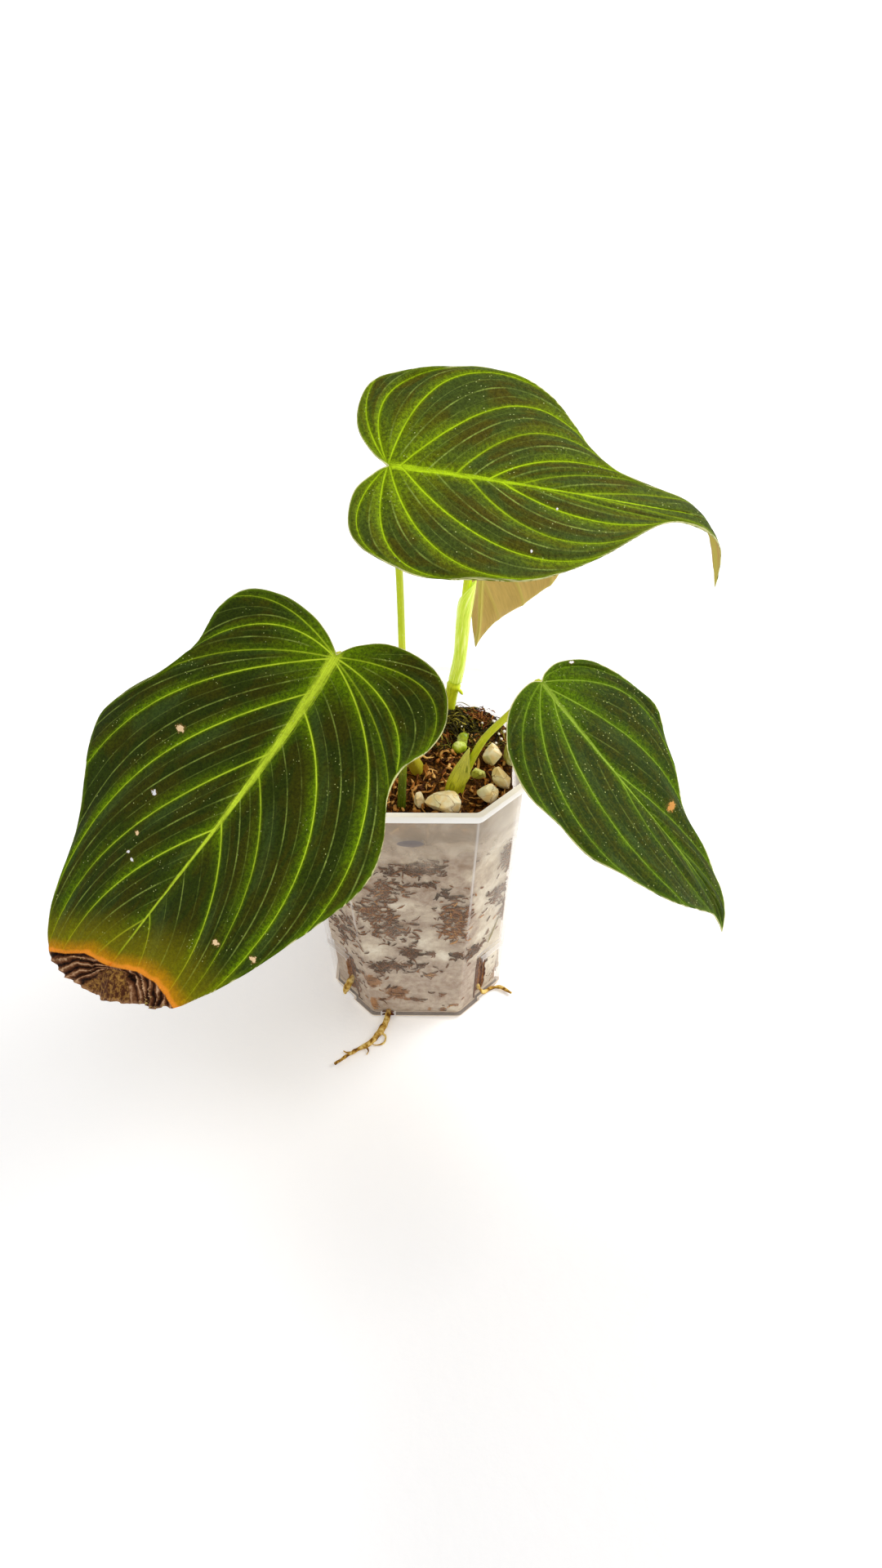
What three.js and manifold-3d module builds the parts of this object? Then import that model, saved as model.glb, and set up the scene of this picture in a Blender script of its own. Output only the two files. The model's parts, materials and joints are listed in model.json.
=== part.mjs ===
// A young splendid philodendron in a clear square nursery pot.
//
// Everything is in millimetres with +Z up. The origin is the centre of the pot's underside, -Y is
// the front. Three heart-shaped leaves hang to the left, to the right and over the top, a fourth
// hangs behind on its own short stem, and the pot holds bark mix, pumice stones and roots.

import * as THREE from 'three';
import { mergeVertices } from 'three/addons/utils/BufferGeometryUtils.js';
import Module from 'manifold-3d';

const wasm = await Module();
wasm.setup();

// Driving dimensions

const FIT_GAP = 0.3;            // air left between two pieces that touch

const POT_HEIGHT = 122.5;
const POT_TOP_WIDTH = 80;       // flat to flat, over the rim
const POT_BASE_WIDTH = 67;
const POT_TOP_CORNER = 15;      // how far a cut corner runs along each side
const POT_BASE_CORNER = 16;
const POT_WALL = 1.2;
const POT_FLOOR = 1.6;
const RIM_HEIGHT = 3.2;
const RIM_OUT = 1.1;            // how far the rim stands out from the wall
const CORNER_BEND = 1.4;        // softness of the upright edges
const FOOT_INSET = 1.4;         // softness of the edge round the foot

const POCKET_TOP = 30;          // the recess low in each cut corner
const POCKET_DEPTH = 1.8;
const SLOT_WIDTH = 2.6;         // the upright drain slot beside the recess
const SLOT_BOTTOM = 4;
const SLOT_TOP = 27;
const DRAIN_RADIUS = 3.5;       // four holes in the floor
const DRAIN_OFFSET = 16;
const NOTCH_WIDTH = 6;          // drain notch in the foot of each side
const NOTCH_HEIGHT = 4;
const NOTCH_DEPTH = 6;
const NOTCH_OFFSET = -11.2;

const MIX_FRONT = 107.5;        // height of the bark mix at the front
const MIX_LOW = 101;            // no part of its top lies lower
const MOUND = { x: 12, y: 15, rise: 6, spread: 13 };
const MIX_BACK_FALL = 5;
const MIX_LUMP = 1.0;

const BLADE = 0.8;              // leaf thickness
const BLADE_BACK = 30;          // how far a leaf's surface runs behind its sinus
const VEIN_RELIEF = 0.55;       // how far the blade swells between two sunken veins
const COLUMNS_PER_VEIN = 3;
const BLADE_ROWS = 6;
const MARGIN_INSET = 2;         // least distance of a column's start from the margin
const SINGLE_REACH = 0.93;      // share of the midrib with one margin point on each side

const STEM_SIDES = 9;

// Colours

const CLEAR = { color: 0xd9d6dc, roughness: 0.25, transparent: true, opacity: 0.45 };
const BARK = { color: 0x4a3020, roughness: 0.95 };
const PUMICE = { color: 0xd9cfae, roughness: 0.9 };
const MOSSY_PUMICE = { color: 0xa9a866, roughness: 0.9 };
const LEAF_GREEN = { color: 0x26401a, roughness: 0.55 };
const LEAF_BRONZE = { color: 0xb89a7c, roughness: 0.6 };
const DRY = { color: 0x5a3a22, roughness: 0.85 };
const PETIOLE = { color: 0xa4b92e, roughness: 0.5 };
const OLD_STEM = { color: 0x8f9a2c, roughness: 0.55 };
const SHEATH = { color: 0xd6e3a4, roughness: 0.4, transparent: true, opacity: 0.8 };
const ROOT = { color: 0x8a6428, roughness: 0.8 };

// Small helpers

const { degToRad, lerp, smoothstep } = THREE.MathUtils;
const vec = (x, y, z) => new THREE.Vector3(x, y, z);

// A value between the rows of a table, each row [position, value, value, ...]
function between(rows, position, column) {
  if (position <= rows[0][0]) return rows[0][column];
  for (let i = 1; i < rows.length; i++) {
    const [low, high] = [rows[i - 1], rows[i]];
    if (position <= high[0]) {
      const part = (position - low[0]) / (high[0] - low[0]);
      return lerp(low[column], high[column], part);
    }
  }
  return rows.at(-1)[column];
}

function geometryFrom(points, triangles) {
  const geometry = new THREE.BufferGeometry();
  const flat = points.flatMap((p) => [p.x, p.y, p.z]);
  geometry.setAttribute('position', new THREE.Float32BufferAttribute(flat, 3));
  geometry.setIndex(triangles.flat());
  return geometry;
}

// A closed skin over a row of rings, which turn counter-clockwise seen from the last ring
function loft(rings) {
  const count = rings[0].length;
  const points = rings.flat();
  const triangles = [];
  for (let row = 0; row + 1 < rings.length; row++) {
    for (let i = 0; i < count; i++) {
      const next = (i + 1) % count;
      const [a, b] = [row * count + i, row * count + next];
      triangles.push([a, b, b + count], [a, b + count, a + count]);
    }
  }
  const middle = (ring) => ring.reduce((sum, p) => sum.add(p), vec(0, 0, 0)).divideScalar(count);
  const lastRow = (rings.length - 1) * count;
  const [startCap, endCap] = [points.length, points.length + 1];
  points.push(middle(rings[0]), middle(rings.at(-1)));
  for (let i = 0; i < count; i++) {
    const next = (i + 1) % count;
    triangles.push([startCap, next, i], [endCap, lastRow + i, lastRow + next]);
  }
  return geometryFrom(points, triangles);
}

// Joins and cuts

function toSolid(geometry) {
  const bare = geometry.clone();
  bare.deleteAttribute('normal');
  bare.deleteAttribute('uv');
  const merged = mergeVertices(bare, 1e-4);
  const triVerts = Uint32Array.from(merged.index.array);
  const vertProperties = Float32Array.from(merged.attributes.position.array);
  return new wasm.Manifold(new wasm.Mesh({ numProp: 3, vertProperties, triVerts }));
}

function toGeometry(solid) {
  const mesh = solid.getMesh();
  const geometry = new THREE.BufferGeometry();
  const positions = Float32Array.from(mesh.vertProperties);
  geometry.setAttribute('position', new THREE.BufferAttribute(positions, 3));
  geometry.setIndex(new THREE.BufferAttribute(Uint32Array.from(mesh.triVerts), 1));
  return geometry;
}

const cutAll = (solid, cutters) => cutters.reduce((rest, cutter) => rest.subtract(cutter), solid);

// Pot

const potHalf = (z) => lerp(POT_BASE_WIDTH / 2, POT_TOP_WIDTH / 2 - RIM_OUT, z / POT_HEIGHT);
const potCorner = (z) => lerp(POT_BASE_CORNER, POT_TOP_CORNER, z / POT_HEIGHT);
// Distance from the axis to the middle of a cut corner
const cornerReach = (z) => (2 * potHalf(z) - potCorner(z)) / Math.SQRT2;

// The pot's outline at one height, moved in or out: eight edges joined by soft bends
function potRing(z, out = 0) {
  const half = potHalf(z) + out;
  const short = potHalf(z) - potCorner(z) + out * (Math.SQRT2 - 1);
  const corners = [
    [half, -short], [half, short], [short, half], [-short, half],
    [-half, short], [-half, -short], [-short, -half], [short, -half],
  ].map(([x, y]) => vec(x, y, z));
  return corners.flatMap((corner, i) => {
    const before = corners.at(i - 1).clone().sub(corner).setLength(CORNER_BEND);
    const after = corners[(i + 1) % 8].clone().sub(corner).setLength(CORNER_BEND);
    const start = corner.clone().add(before);
    const end = corner.clone().add(after);
    const bend = start.clone().add(end).multiplyScalar(0.25).addScaledVector(corner, 0.5);
    return [start, bend, end];
  });
}

// A place near a cut corner: out along its diagonal, and aside towards the pot's left or right face
const CORNER_SIGNS = [[1, -1], [1, 1], [-1, 1], [-1, -1]];

function cornerPlace([signX, signY], out, aside, z) {
  return vec(signX * (out + aside), signY * (out - aside), z * Math.SQRT2).divideScalar(Math.SQRT2);
}

// A four-sided cutter at a cut corner, which leans with the wall
function cornerCutter(signs, low, high, fromDepth, toOut, fromAside, toAside) {
  const rings = [low, high].map((z) => {
    const [inside, outside] = [cornerReach(z) - fromDepth, cornerReach(z) + toOut];
    const ring = [[inside, fromAside], [outside, fromAside], [outside, toAside], [inside, toAside]];
    return ring.map(([out, aside]) => cornerPlace(signs, out, aside, z));
  });
  const turnsBack = signs[0] * signs[1] > 0;
  return toSolid(loft(turnsBack ? rings.map((ring) => ring.reverse()) : rings));
}

function boxSolid(sizeX, sizeY, sizeZ, x, y, z, turn = 0) {
  const box = new THREE.BoxGeometry(sizeX, sizeY, sizeZ).translate(x, y, z);
  return toSolid(box.rotateZ(turn));
}

const pocketCutters = (grow) => CORNER_SIGNS.map((signs) => (
  cornerCutter(signs, -5, POCKET_TOP + grow, POCKET_DEPTH + grow, 12, -grow, 30)));

function potShell() {
  const rimFoot = POT_HEIGHT - RIM_HEIGHT;
  const outside = toSolid(loft([
    potRing(0, -FOOT_INSET),
    potRing(0.5, -FOOT_INSET * 0.4),
    potRing(1.6, 0),
    potRing(rimFoot, 0),
    potRing(rimFoot + 0.3, RIM_OUT),
    potRing(POT_HEIGHT - 0.5, RIM_OUT),
    potRing(POT_HEIGHT, RIM_OUT * 0.5),
  ]));
  const inside = toSolid(loft([potRing(POT_FLOOR, -POT_WALL), potRing(POT_HEIGHT + 2, -POT_WALL)]));
  const shell = cutAll(outside, pocketCutters(0)).subtract(cutAll(inside, pocketCutters(POT_WALL)));
  const slots = CORNER_SIGNS.map((signs) => (
    cornerCutter(signs, SLOT_BOTTOM, SLOT_TOP, 6, 6, 0, SLOT_WIDTH)));
  return cutAll(shell, [...slots, ...drainHoles(), ...footNotches()]);
}

function drainHoles() {
  return CORNER_SIGNS.map(([signX, signY]) => {
    const hole = new THREE.CylinderGeometry(DRAIN_RADIUS, DRAIN_RADIUS, 4 * POT_FLOOR, 16);
    return toSolid(hole.rotateX(Math.PI / 2).translate(signX * DRAIN_OFFSET, signY * DRAIN_OFFSET, 0));
  });
}

function footNotches() {
  const outer = POT_BASE_WIDTH / 2 + 2;
  return [0, 1, 2, 3].map((side) => boxSolid(NOTCH_WIDTH, NOTCH_DEPTH + 2, 2 * NOTCH_HEIGHT,
    NOTCH_OFFSET, -outer + (NOTCH_DEPTH + 2) / 2, 0, side * Math.PI / 2));
}

// Bark mix

const MIX_SECTORS = 40;
const MIX_RINGS = [0.93, 0.84, 0.74, 0.64, 0.54, 0.44, 0.34, 0.24, 0.14, 0.06];

// The octagon's reach in one direction, a little inside the pot's wall
function mixReach(angle, z) {
  const inset = POT_WALL + FIT_GAP;
  const half = potHalf(z) - inset;
  const [c, s] = [Math.abs(Math.cos(angle)), Math.abs(Math.sin(angle))];
  return Math.min(half / c, half / s, Math.SQRT2 * (cornerReach(z) - inset) / (c + s));
}

// A mound behind the middle, lower again at the back wall, with slow lumps all over
function mixHeight(x, y) {
  const awaySquared = (x - MOUND.x) ** 2 + (y - MOUND.y) ** 2;
  const mound = MOUND.rise * Math.exp(-awaySquared / (2 * MOUND.spread ** 2));
  const fall = MIX_BACK_FALL * smoothstep(y, 18, 38);
  const lumps = Math.sin(0.42 * x + 1.1) * Math.cos(0.37 * y) + 0.7 * Math.sin(0.71 * y - 0.5 * x);
  return MIX_FRONT + mound - fall + MIX_LUMP * lumps;
}

function mixRing(share, wallZ, zAt) {
  return Array.from({ length: MIX_SECTORS }, (_, i) => {
    const angle = (i / MIX_SECTORS) * 2 * Math.PI;
    const reach = share * mixReach(angle, wallZ);
    const [x, y] = [reach * Math.cos(angle), reach * Math.sin(angle)];
    return vec(x, y, zAt(x, y));
  });
}

function mixBody() {
  const floorZ = POT_FLOOR + FIT_GAP;
  const rings = [
    mixRing(1, floorZ, () => floorZ),
    mixRing(1, MIX_LOW, () => MIX_LOW),
    mixRing(0.99, MIX_LOW, (x, y) => mixHeight(x, y) - 1),
    ...MIX_RINGS.map((share) => mixRing(share, MIX_LOW, mixHeight)),
  ];
  return cutAll(toSolid(loft(rings)), pocketCutters(POT_WALL + FIT_GAP));
}

// Stones: [x, y, z, half width, half depth, half height, turn, finish]

const STONES = {
  stone_front: [11.9, -21.4, 110.6, 6.6, 4.5, 3.7, 8, PUMICE],
  stone_front_small: [3.0, -19.6, 110.0, 2.1, 3.2, 2.5, -24, PUMICE],
  stone_right_top: [28.8, 0.4, 112.4, 3.5, 4.4, 3.8, 12, PUMICE],
  stone_right_middle: [32.3, -10.0, 110.7, 2.5, 4.4, 3.9, 32, PUMICE],
  stone_right_low: [26.8, -16.4, 110.8, 3.9, 4.1, 3.5, -15, PUMICE],
  stone_mossy: [23.6, -7.0, 110.2, 2.9, 2.5, 2.3, 10, MOSSY_PUMICE],
  stone_at_wall: [35.0, 1.6, 111.4, 1.4, 4.6, 3.1, 4, MOSSY_PUMICE],
  stone_chip: [31.6, -20.0, 109.2, 1.5, 1.2, 1.0, 0, PUMICE],
};
const LARGE_STONE = 3.4;        // stones this wide get a finer skin

// A lumpy pebble: a ball pushed in and out by a few slow waves
function stoneGeometry([x, y, z, width, depth, height, turn], grow = 0) {
  const ball = new THREE.IcosahedronGeometry(1, width > LARGE_STONE ? 2 : 1);
  ball.deleteAttribute('normal');
  ball.deleteAttribute('uv');
  const skin = mergeVertices(ball, 1e-4);
  const spots = skin.attributes.position;
  for (let i = 0; i < spots.count; i++) {
    const p = new THREE.Vector3().fromBufferAttribute(spots, i);
    const broad = 0.07 * Math.sin(3.1 * p.x + x) * Math.cos(2.7 * p.y + y);
    const fine = 0.05 * Math.sin(4.3 * p.z + x + y);
    p.multiplyScalar(1 + broad + fine);
    spots.setXYZ(i, p.x * (width + grow), p.y * (depth + grow), p.z * (height + grow));
  }
  return skin.rotateZ(degToRad(turn)).translate(x, y, z);
}

// Stems: a round skin along a smooth path, with its radius in rows [share of the length, radius]

function stemGeometry(path, radii, grow = 0, steps = 12) {
  const curve = new THREE.CatmullRomCurve3(path.map((p) => vec(...p)));
  const frames = curve.computeFrenetFrames(steps, false);
  const rings = frames.tangents.map((_, step) => {
    const share = step / steps;
    const radius = between(radii, share, 1) + grow;
    const centre = curve.getPointAt(share);
    return Array.from({ length: STEM_SIDES }, (_, i) => {
      const angle = (i / STEM_SIDES) * 2 * Math.PI;
      return centre.clone()
        .addScaledVector(frames.normals[step], radius * Math.cos(angle))
        .addScaledVector(frames.binormals[step], radius * Math.sin(angle));
    });
  });
  return loft(rings);
}

const UNDER_BLADE = BLADE / 2 + FIT_GAP + 0.5;   // how far below the sinus a stalk's end lies

// Each leaf's sinus is where its stalk meets the blade
const SINUS = {
  top: [-2.4, -18.4, 236.2],
  left: [-20, -24, 176.5],
  right: [42.6, -19.3, 162.5],
  rear: [25.3, 37, 199],
};

const underSinus = (name) => [SINUS[name][0], SINUS[name][1], SINUS[name][2] - UNDER_BLADE];

const STEMS = {
  petiole_top: {
    path: [[-3.1, -19.8, 101], [-2.9, -19.7, 108], [-0.9, -19.4, 145], [-0.6, -19.2, 175],
      [-0.6, -18.8, 205], [-1.5, -18.5, 226], underSinus('top')],
    radii: [[0, 1.5], [0.1, 1.45], [0.3, 1.15], [1, 1.0]],
    finish: PETIOLE,
  },
  petiole_left: {
    path: [[3.2, -2.2, 101], [2.2, -3.4, 109], [0.2, -5.6, 117], [-8, -13.5, 143],
      [-15.5, -20.2, 164], underSinus('left')],
    radii: [[0, 2.5], [0.14, 2.6], [0.26, 1.6], [0.5, 1.3], [1, 1.2]],
    finish: OLD_STEM,
  },
  petiole_right: {
    path: [[15.6, -12.4, 101], [16.4, -12.8, 108], [18.2, -13.2, 115.6], [21.6, -14.1, 125],
      [25.4, -15, 134.5], [32.3, -16.7, 145.5], [38.2, -18.2, 154.5], underSinus('right')],
    radii: [[0, 2.7], [0.12, 2.8], [0.28, 2.3], [0.42, 1.25], [1, 1.1]],
    finish: PETIOLE,
  },
  petiole_rear: {
    path: [[15.4, 25, 126.8], [17, 26, 136], [18.1, 27.5, 150], [19.7, 30, 167],
      [21.9, 32, 184], [24.2, 34.2, 195], [25.1, 34.9, 198.6]],
    radii: [[0, 1.6], [0.5, 1.45], [1, 1.2]],
    finish: PETIOLE,
  },
  stem_rear: {
    path: [[11.8, 23.7, 104], [12.9, 24.1, 114], [13.8, 24.4, 120], [15.2, 24.9, 126.4]],
    radii: [[0, 2.4], [0.5, 2.3], [0.9, 2.6], [1, 2.0]],
    finish: OLD_STEM,
  },
  root_front: {
    path: [[-10.8, -27.5, 5.2], [-11, -30.5, 3.4], [-11.6, -35.5, 1.3], [-14, -41, 1.1],
      [-18, -46.2, 1.1], [-24.5, -50.6, 1.1], [-30.9, -55.8, 1.1]],
    radii: [[0, 0.9], [0.6, 0.85], [1, 0.5]],
    finish: ROOT,
  },
};

// Two roots leave by the drain slots in the front corners
const SLOT_MIDDLE = SLOT_WIDTH / 2;

function slotRoot(signs, stops) {
  return stops.map(([out, aside, z]) => (
    cornerPlace(signs, cornerReach(z) + out, SLOT_MIDDLE + aside, z).toArray()));
}

STEMS.root_right = {
  path: slotRoot([1, -1],
    [[-4.5, 0, 8.5], [-0.6, 0, 7.2], [2.2, 0.8, 4.6], [3.4, 4.6, 1.5], [6.6, 10.5, 1.1]]),
  radii: [[0, 0.8], [0.7, 0.75], [1, 0.5]],
  finish: ROOT,
};
STEMS.root_left = {
  path: slotRoot([-1, -1],
    [[-4.5, 0, 17], [-0.6, 0, 14.5], [1.8, 0.3, 10.5], [2.4, 1.2, 6.5], [2.1, 2.0, 3.4]]),
  radii: [[0, 0.9], [0.7, 0.85], [1, 0.45]],
  finish: ROOT,
};

// The stems that stand in the bark mix
const PLANTED = ['petiole_top', 'petiole_left', 'petiole_right', 'stem_rear'];
const ROOTED = ['root_front', 'root_right', 'root_left'];

const stemSolid = (name, grow = 0) => (
  toSolid(stemGeometry(STEMS[name].path, STEMS[name].radii, grow)));

// The papery sheath that wraps the rear petiole above its node: a sleeve that widens to its mouth
const SHEATH_RADII = [[0, 2.5], [0.15, 2.2], [0.6, 2.4], [0.85, 2.8], [1, 2.2]];
const SHEATH_BORE = [[0, 1.95], [1, 1.9]];
const BORE_START = [14.8, 24.7, 123];
const BORE_END = [20.6, 31.1, 173];

function sheathSolid() {
  const wrapped = STEMS.petiole_rear.path.slice(0, 4);
  const outer = stemGeometry(wrapped, SHEATH_RADII, 0, 10).translate(0, 0, FIT_GAP);
  const bore = stemGeometry([BORE_START, ...wrapped, BORE_END], SHEATH_BORE, 0, 14);
  return toSolid(outer).subtract(toSolid(bore));
}

// The rear stem with the stub of an aerial root on its node
const NUB_PATH = [[14.6, 24.2, 124.6], [16.6, 23.2, 124], [18.2, 22.2, 122.4]];
const NUB_RADII = [[0, 0.9], [1, 0.45]];

function rearStem() {
  return stemSolid('stem_rear').add(toSolid(stemGeometry(NUB_PATH, NUB_RADII, 0, 4)));
}

// A fat pale bud of two knobs on the mix: [x, y, z, half width, half depth, half height]
const BUD = [[17.4, 9.4, 112.6, 2.4, 2.2, 2.9], [19.2, 6.9, 111.6, 1.8, 1.7, 2.3]];

function budSolid(grow = 0) {
  const knobs = BUD.map(([x, y, z, width, depth, height]) => (
    toSolid(new THREE.SphereGeometry(1, 12, 8)
      .scale(width + grow, depth + grow, height + grow).translate(x, y, z))));
  return knobs[0].add(knobs[1]);
}

// Leaves
//
// A blade is drawn on a bent surface. s runs along the midrib from the sinus, r runs across it,
// and +r is the right-hand side of someone walking to the tip. Each row of a leaf's course is
// [s, heading, droop, roll, fold right, fold left, curl right, curl left]: degrees of turn, of
// slope below level, of lean, of rise beside the midrib, and of further bend every 50 mm out.
// Each half has its margin as points (s, r) from sinus to tip, and its side veins in that order.
// A vein's row is [s where it leaves the midrib, bend s, bend r, share of the margin where it ends].

const LEAVES = {
  top: {
    course: [
      [0, -14, 0, -26, 4, 4, -14, -14],
      [30, -5, 7, -26, 4, 4, -14, -14],
      [60, 5, 14, -26, 4, 4, -14, -24],
      [84, 22, 22, -24, 4, 4, -20, -30],
      [94, 30, 46, -18, 4, 4, -20, -20],
      [104, 28, 72, -10, 4, 4, -14, -14],
      [120, 22, 84, -5, 4, 4, -14, -14],
    ],
    right: {
      margin: [[0, 0], [-3, 3], [-7, 10], [-6, 20], [-1, 26], [8, 30], [16, 32], [28, 30], [40, 29],
        [49, 25], [60, 17], [71, 8.5], [80, 3.8], [88, 3.6], [98, 4], [109, 2.5], [120, 0]],
      veins: [[0, -4, 4.5, 0.06], [0, -12, 22, 0.25], [0, 0, 33.5, 0.35], [0.5, 16, 35, 0.48],
        [4, 36, 32, 0.6], [22, 44, 25, 0.67], [31, 53, 13, 0.735], [42, 64, 4.4, 0.79],
        [54, 80, 2.4, 0.88]],
    },
    left: {
      margin: [[0, 0], [-5, -3], [-11, -10], [-13, -19], [-11, -27], [-3, -31], [10, -35], [20, -37],
        [32, -35], [42, -30.5], [50, -23.5], [56, -15.5], [62, -10], [70, -7.5], [80, -6.5],
        [92, -5.5], [104, -4], [114, -2], [120, 0]],
      veins: [[0, -5, -4, 0.06], [0, -14, -15, 0.19], [0, -17, -26, 0.32], [0, 2, -44, 0.49],
        [3, 32, -40, 0.61], [18.5, 37, -27, 0.65], [27.5, 42, -13, 0.69], [36, 51, -8, 0.73],
        [52, 74, -5, 0.87]],
    },
    wave: [0.8, 4.5, 0.6],
    finish: LEAF_GREEN,
  },
  left: {
    course: [
      [0, 242, 22, 6, 6, 6, -6, -14],
      [40, 229, 30, 6, 6, 6, -6, -14],
      [80, 219, 37, 6, 6, 6, -6, -14],
      [115, 214, 43, 6, 6, 6, -6, -14],
      [150, 210, 46, 6, 6, 6, -6, -14],
    ],
    right: {
      margin: [[0, 0], [-5, 6], [-9, 14], [-11, 25], [-8, 36], [2, 41], [18, 42], [34, 47], [48, 55],
        [60, 59], [72, 55], [88, 46], [104, 38], [120, 32], [129, 26], [133, 18], [131, 8], [129, 0]],
      veins: [[0, -3.5, 6, 0.07], [1, -14, 26, 0.21], [1.2, -12, 33, 0.37], [1.4, 10, 41, 0.48],
        [1.5, 30, 49, 0.61], [14, 61, 48, 0.81], [36, 91, 38, 0.885], [64, 101, 24, 0.92],
        [98, 117, 8.6, 0.97]],
    },
    left: {
      margin: [[0, 0], [-5, -5], [-9, -14], [-8, -26], [-3, -35], [6, -41], [14, -41], [22, -37.5],
        [30, -39], [40, -46], [50, -49], [62, -47], [80, -41], [97, -34], [109, -27], [119, -15],
        [129, 0]],
      veins: [[0, -4, -5.5, 0.07], [1, -8, -40, 0.31], [1.2, 8, -34, 0.38], [1.6, 20, -38.5, 0.48],
        [2, 32, -47, 0.6], [20, 50, -42, 0.75], [43, 68, -30, 0.8], [61, 85, -26, 0.855],
        [96, 102, -10, 0.93]],
    },
    wave: [0.9, 5, 1.4],
    finish: LEAF_GREEN,
  },
  right: {
    course: [
      [0, -53, 22, 0, 5, 5, -16, -16],
      [35, -37, 36, 0, 5, 5, -16, -16],
      [70, -22, 48, 0, 5, 5, -16, -16],
      [90, -22, 56, 0, 5, 5, -16, -16],
      [106, -50, 75, 0, 5, 5, -16, -16],
    ],
    right: {
      margin: [[0, 0], [-1, 4], [1, 11], [5, 18], [12, 25], [20, 29], [27, 31], [36, 30], [46, 30],
        [55, 27], [65, 23], [76, 18], [86, 11], [95, 4], [101, 1.5], [106, 0]],
      veins: [[0, -0.6, 3, 0.05], [0, 12, 27, 0.4], [0.3, 31, 31, 0.6], [6, 46, 22, 0.77],
        [39, 69, 11, 0.9], [68, 88, 4, 0.96]],
    },
    left: {
      margin: [[0, 0], [-2, -3], [-3, -9], [0, -17], [6, -22], [15, -27], [26, -30], [34, -30],
        [44, -26], [53, -21], [61, -16], [70, -12], [80, -9.5], [90, -7], [97, -4], [102, -1.5],
        [106, 0]],
      veins: [[0, -2.6, -3.2, 0.06], [0, -6, -17, 0.33], [0.3, 15, -38, 0.59], [2.3, 38, -21, 0.66],
        [36, 64, -8, 0.85], [68, 85, -3.5, 0.94]],
    },
    wave: [0.6, 5, 2.2],
    finish: LEAF_GREEN,
  },
  rear: {
    course: [
      [0, 95, 74, -35, 42, 42, -8, -8],
      [30, 95, 80, -35, 42, 42, -8, -8],
      [60, 97, 84, -35, 42, 42, -8, -8],
      [78, 130, 76, -35, 42, 42, -8, -8],
    ],
    right: {
      margin: [[0, 0], [-4, 6], [-7, 14], [-4, 22], [6, 28], [20, 31], [35, 31], [47, 28], [54, 22],
        [61, 14.5], [66.5, 7.5], [71, 4], [78, 0]],
      veins: [[0, -3, 5.5, 0.06], [0, -9, 17, 0.22], [0, 2, 32, 0.4], [1, 20, 36, 0.56],
        [8, 36, 27, 0.68], [24, 46, 15, 0.79], [42, 58, 6, 0.88]],
    },
    left: {
      margin: [[0, 0], [-4, -6], [-7, -14], [-4, -21], [6, -25], [20, -26], [33, -23], [44, -17],
        [53, -11], [61, -7], [67, -4.5], [72, -2.5], [78, 0]],
      veins: [[0, -3, -5.5, 0.06], [0, -9, -16, 0.22], [0, 2, -28, 0.4], [1, 18, -28, 0.56],
        [8, 34, -19, 0.68], [24, 44, -10, 0.79], [42, 57, -5, 0.88]],
    },
    wave: [0.6, 4, 0.3],
    finish: LEAF_BRONZE,
  },
};

// The midrib's place and axes, one row for every millimetre of s
function followCourse(course, sinus) {
  const length = course.at(-1)[0];
  const rows = Array.from({ length: BLADE_BACK + length + 1 }, (_, i) => {
    const s = i - BLADE_BACK;
    const [heading, droop, roll] = [1, 2, 3].map((column) => degToRad(between(course, s, column)));
    const level = Math.cos(droop);
    const along = vec(level * Math.cos(heading), level * Math.sin(heading), -Math.sin(droop));
    const aside = vec(Math.sin(heading), -Math.cos(heading), 0);
    const upright = aside.clone().cross(along);
    const up = upright.multiplyScalar(Math.cos(roll)).addScaledVector(aside, -Math.sin(roll));
    return { along, up, across: along.clone().cross(up), place: vec(...sinus) };
  });
  const halfStep = (a, b) => a.along.clone().add(b.along).multiplyScalar(0.5);
  for (let i = BLADE_BACK + 1; i < rows.length; i++) {
    rows[i].place = rows[i - 1].place.clone().add(halfStep(rows[i - 1], rows[i]));
  }
  for (let i = BLADE_BACK - 1; i >= 0; i--) {
    rows[i].place = rows[i + 1].place.clone().sub(halfStep(rows[i], rows[i + 1]));
  }
  return rows;
}

// The point of the bent surface at (s, r), lifted off it by some height
function bladePoint(leaf, s, r, lift) {
  const at = Math.min(Math.max(s + BLADE_BACK, 0), leaf.rows.length - 1.001);
  const [low, high] = [leaf.rows[Math.floor(at)], leaf.rows[Math.floor(at) + 1]];
  const mix = (key) => low[key].clone().lerp(high[key], at - Math.floor(at));
  const [place, up, across] = [mix('place'), mix('up'), mix('across')];
  const side = r < 0 ? -1 : 1;
  const fold = degToRad(between(leaf.course, s, side > 0 ? 4 : 5));
  const curl = degToRad(between(leaf.course, s, side > 0 ? 6 : 7)) / 50;
  const bend = fold + curl * Math.abs(r);
  const out = (Math.sin(bend) - Math.sin(fold)) / curl;
  const rise = (Math.cos(fold) - Math.cos(bend)) / curl;
  return place
    .addScaledVector(across, side * (out - lift * Math.sin(bend)))
    .addScaledVector(up, rise + lift * Math.cos(bend));
}

// One half of a leaf ready to draw: its margin as a curve, and its veins from sinus to tip
function prepareHalf({ margin, veins }) {
  const curve = new THREE.SplineCurve(margin.map((p) => new THREE.Vector2(...p)));
  const tip = margin.at(-1)[0];
  const rows = [[0, 0, 0, 0], ...veins, [tip, tip, 0, 1]];
  const side = margin[2][1] > 0 ? 1 : -1;
  const outline = curve.getPoints(8 * margin.length).map(({ x, y }) => [x, side * y]);
  const rearmost = outline.indexOf(outline.reduce((a, b) => (b[0] < a[0] ? b : a)));
  const reach = outline.slice(rearmost).filter(([s]) => s < SINGLE_REACH * tip);
  return { curve, tip, rows, side, reach };
}

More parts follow.
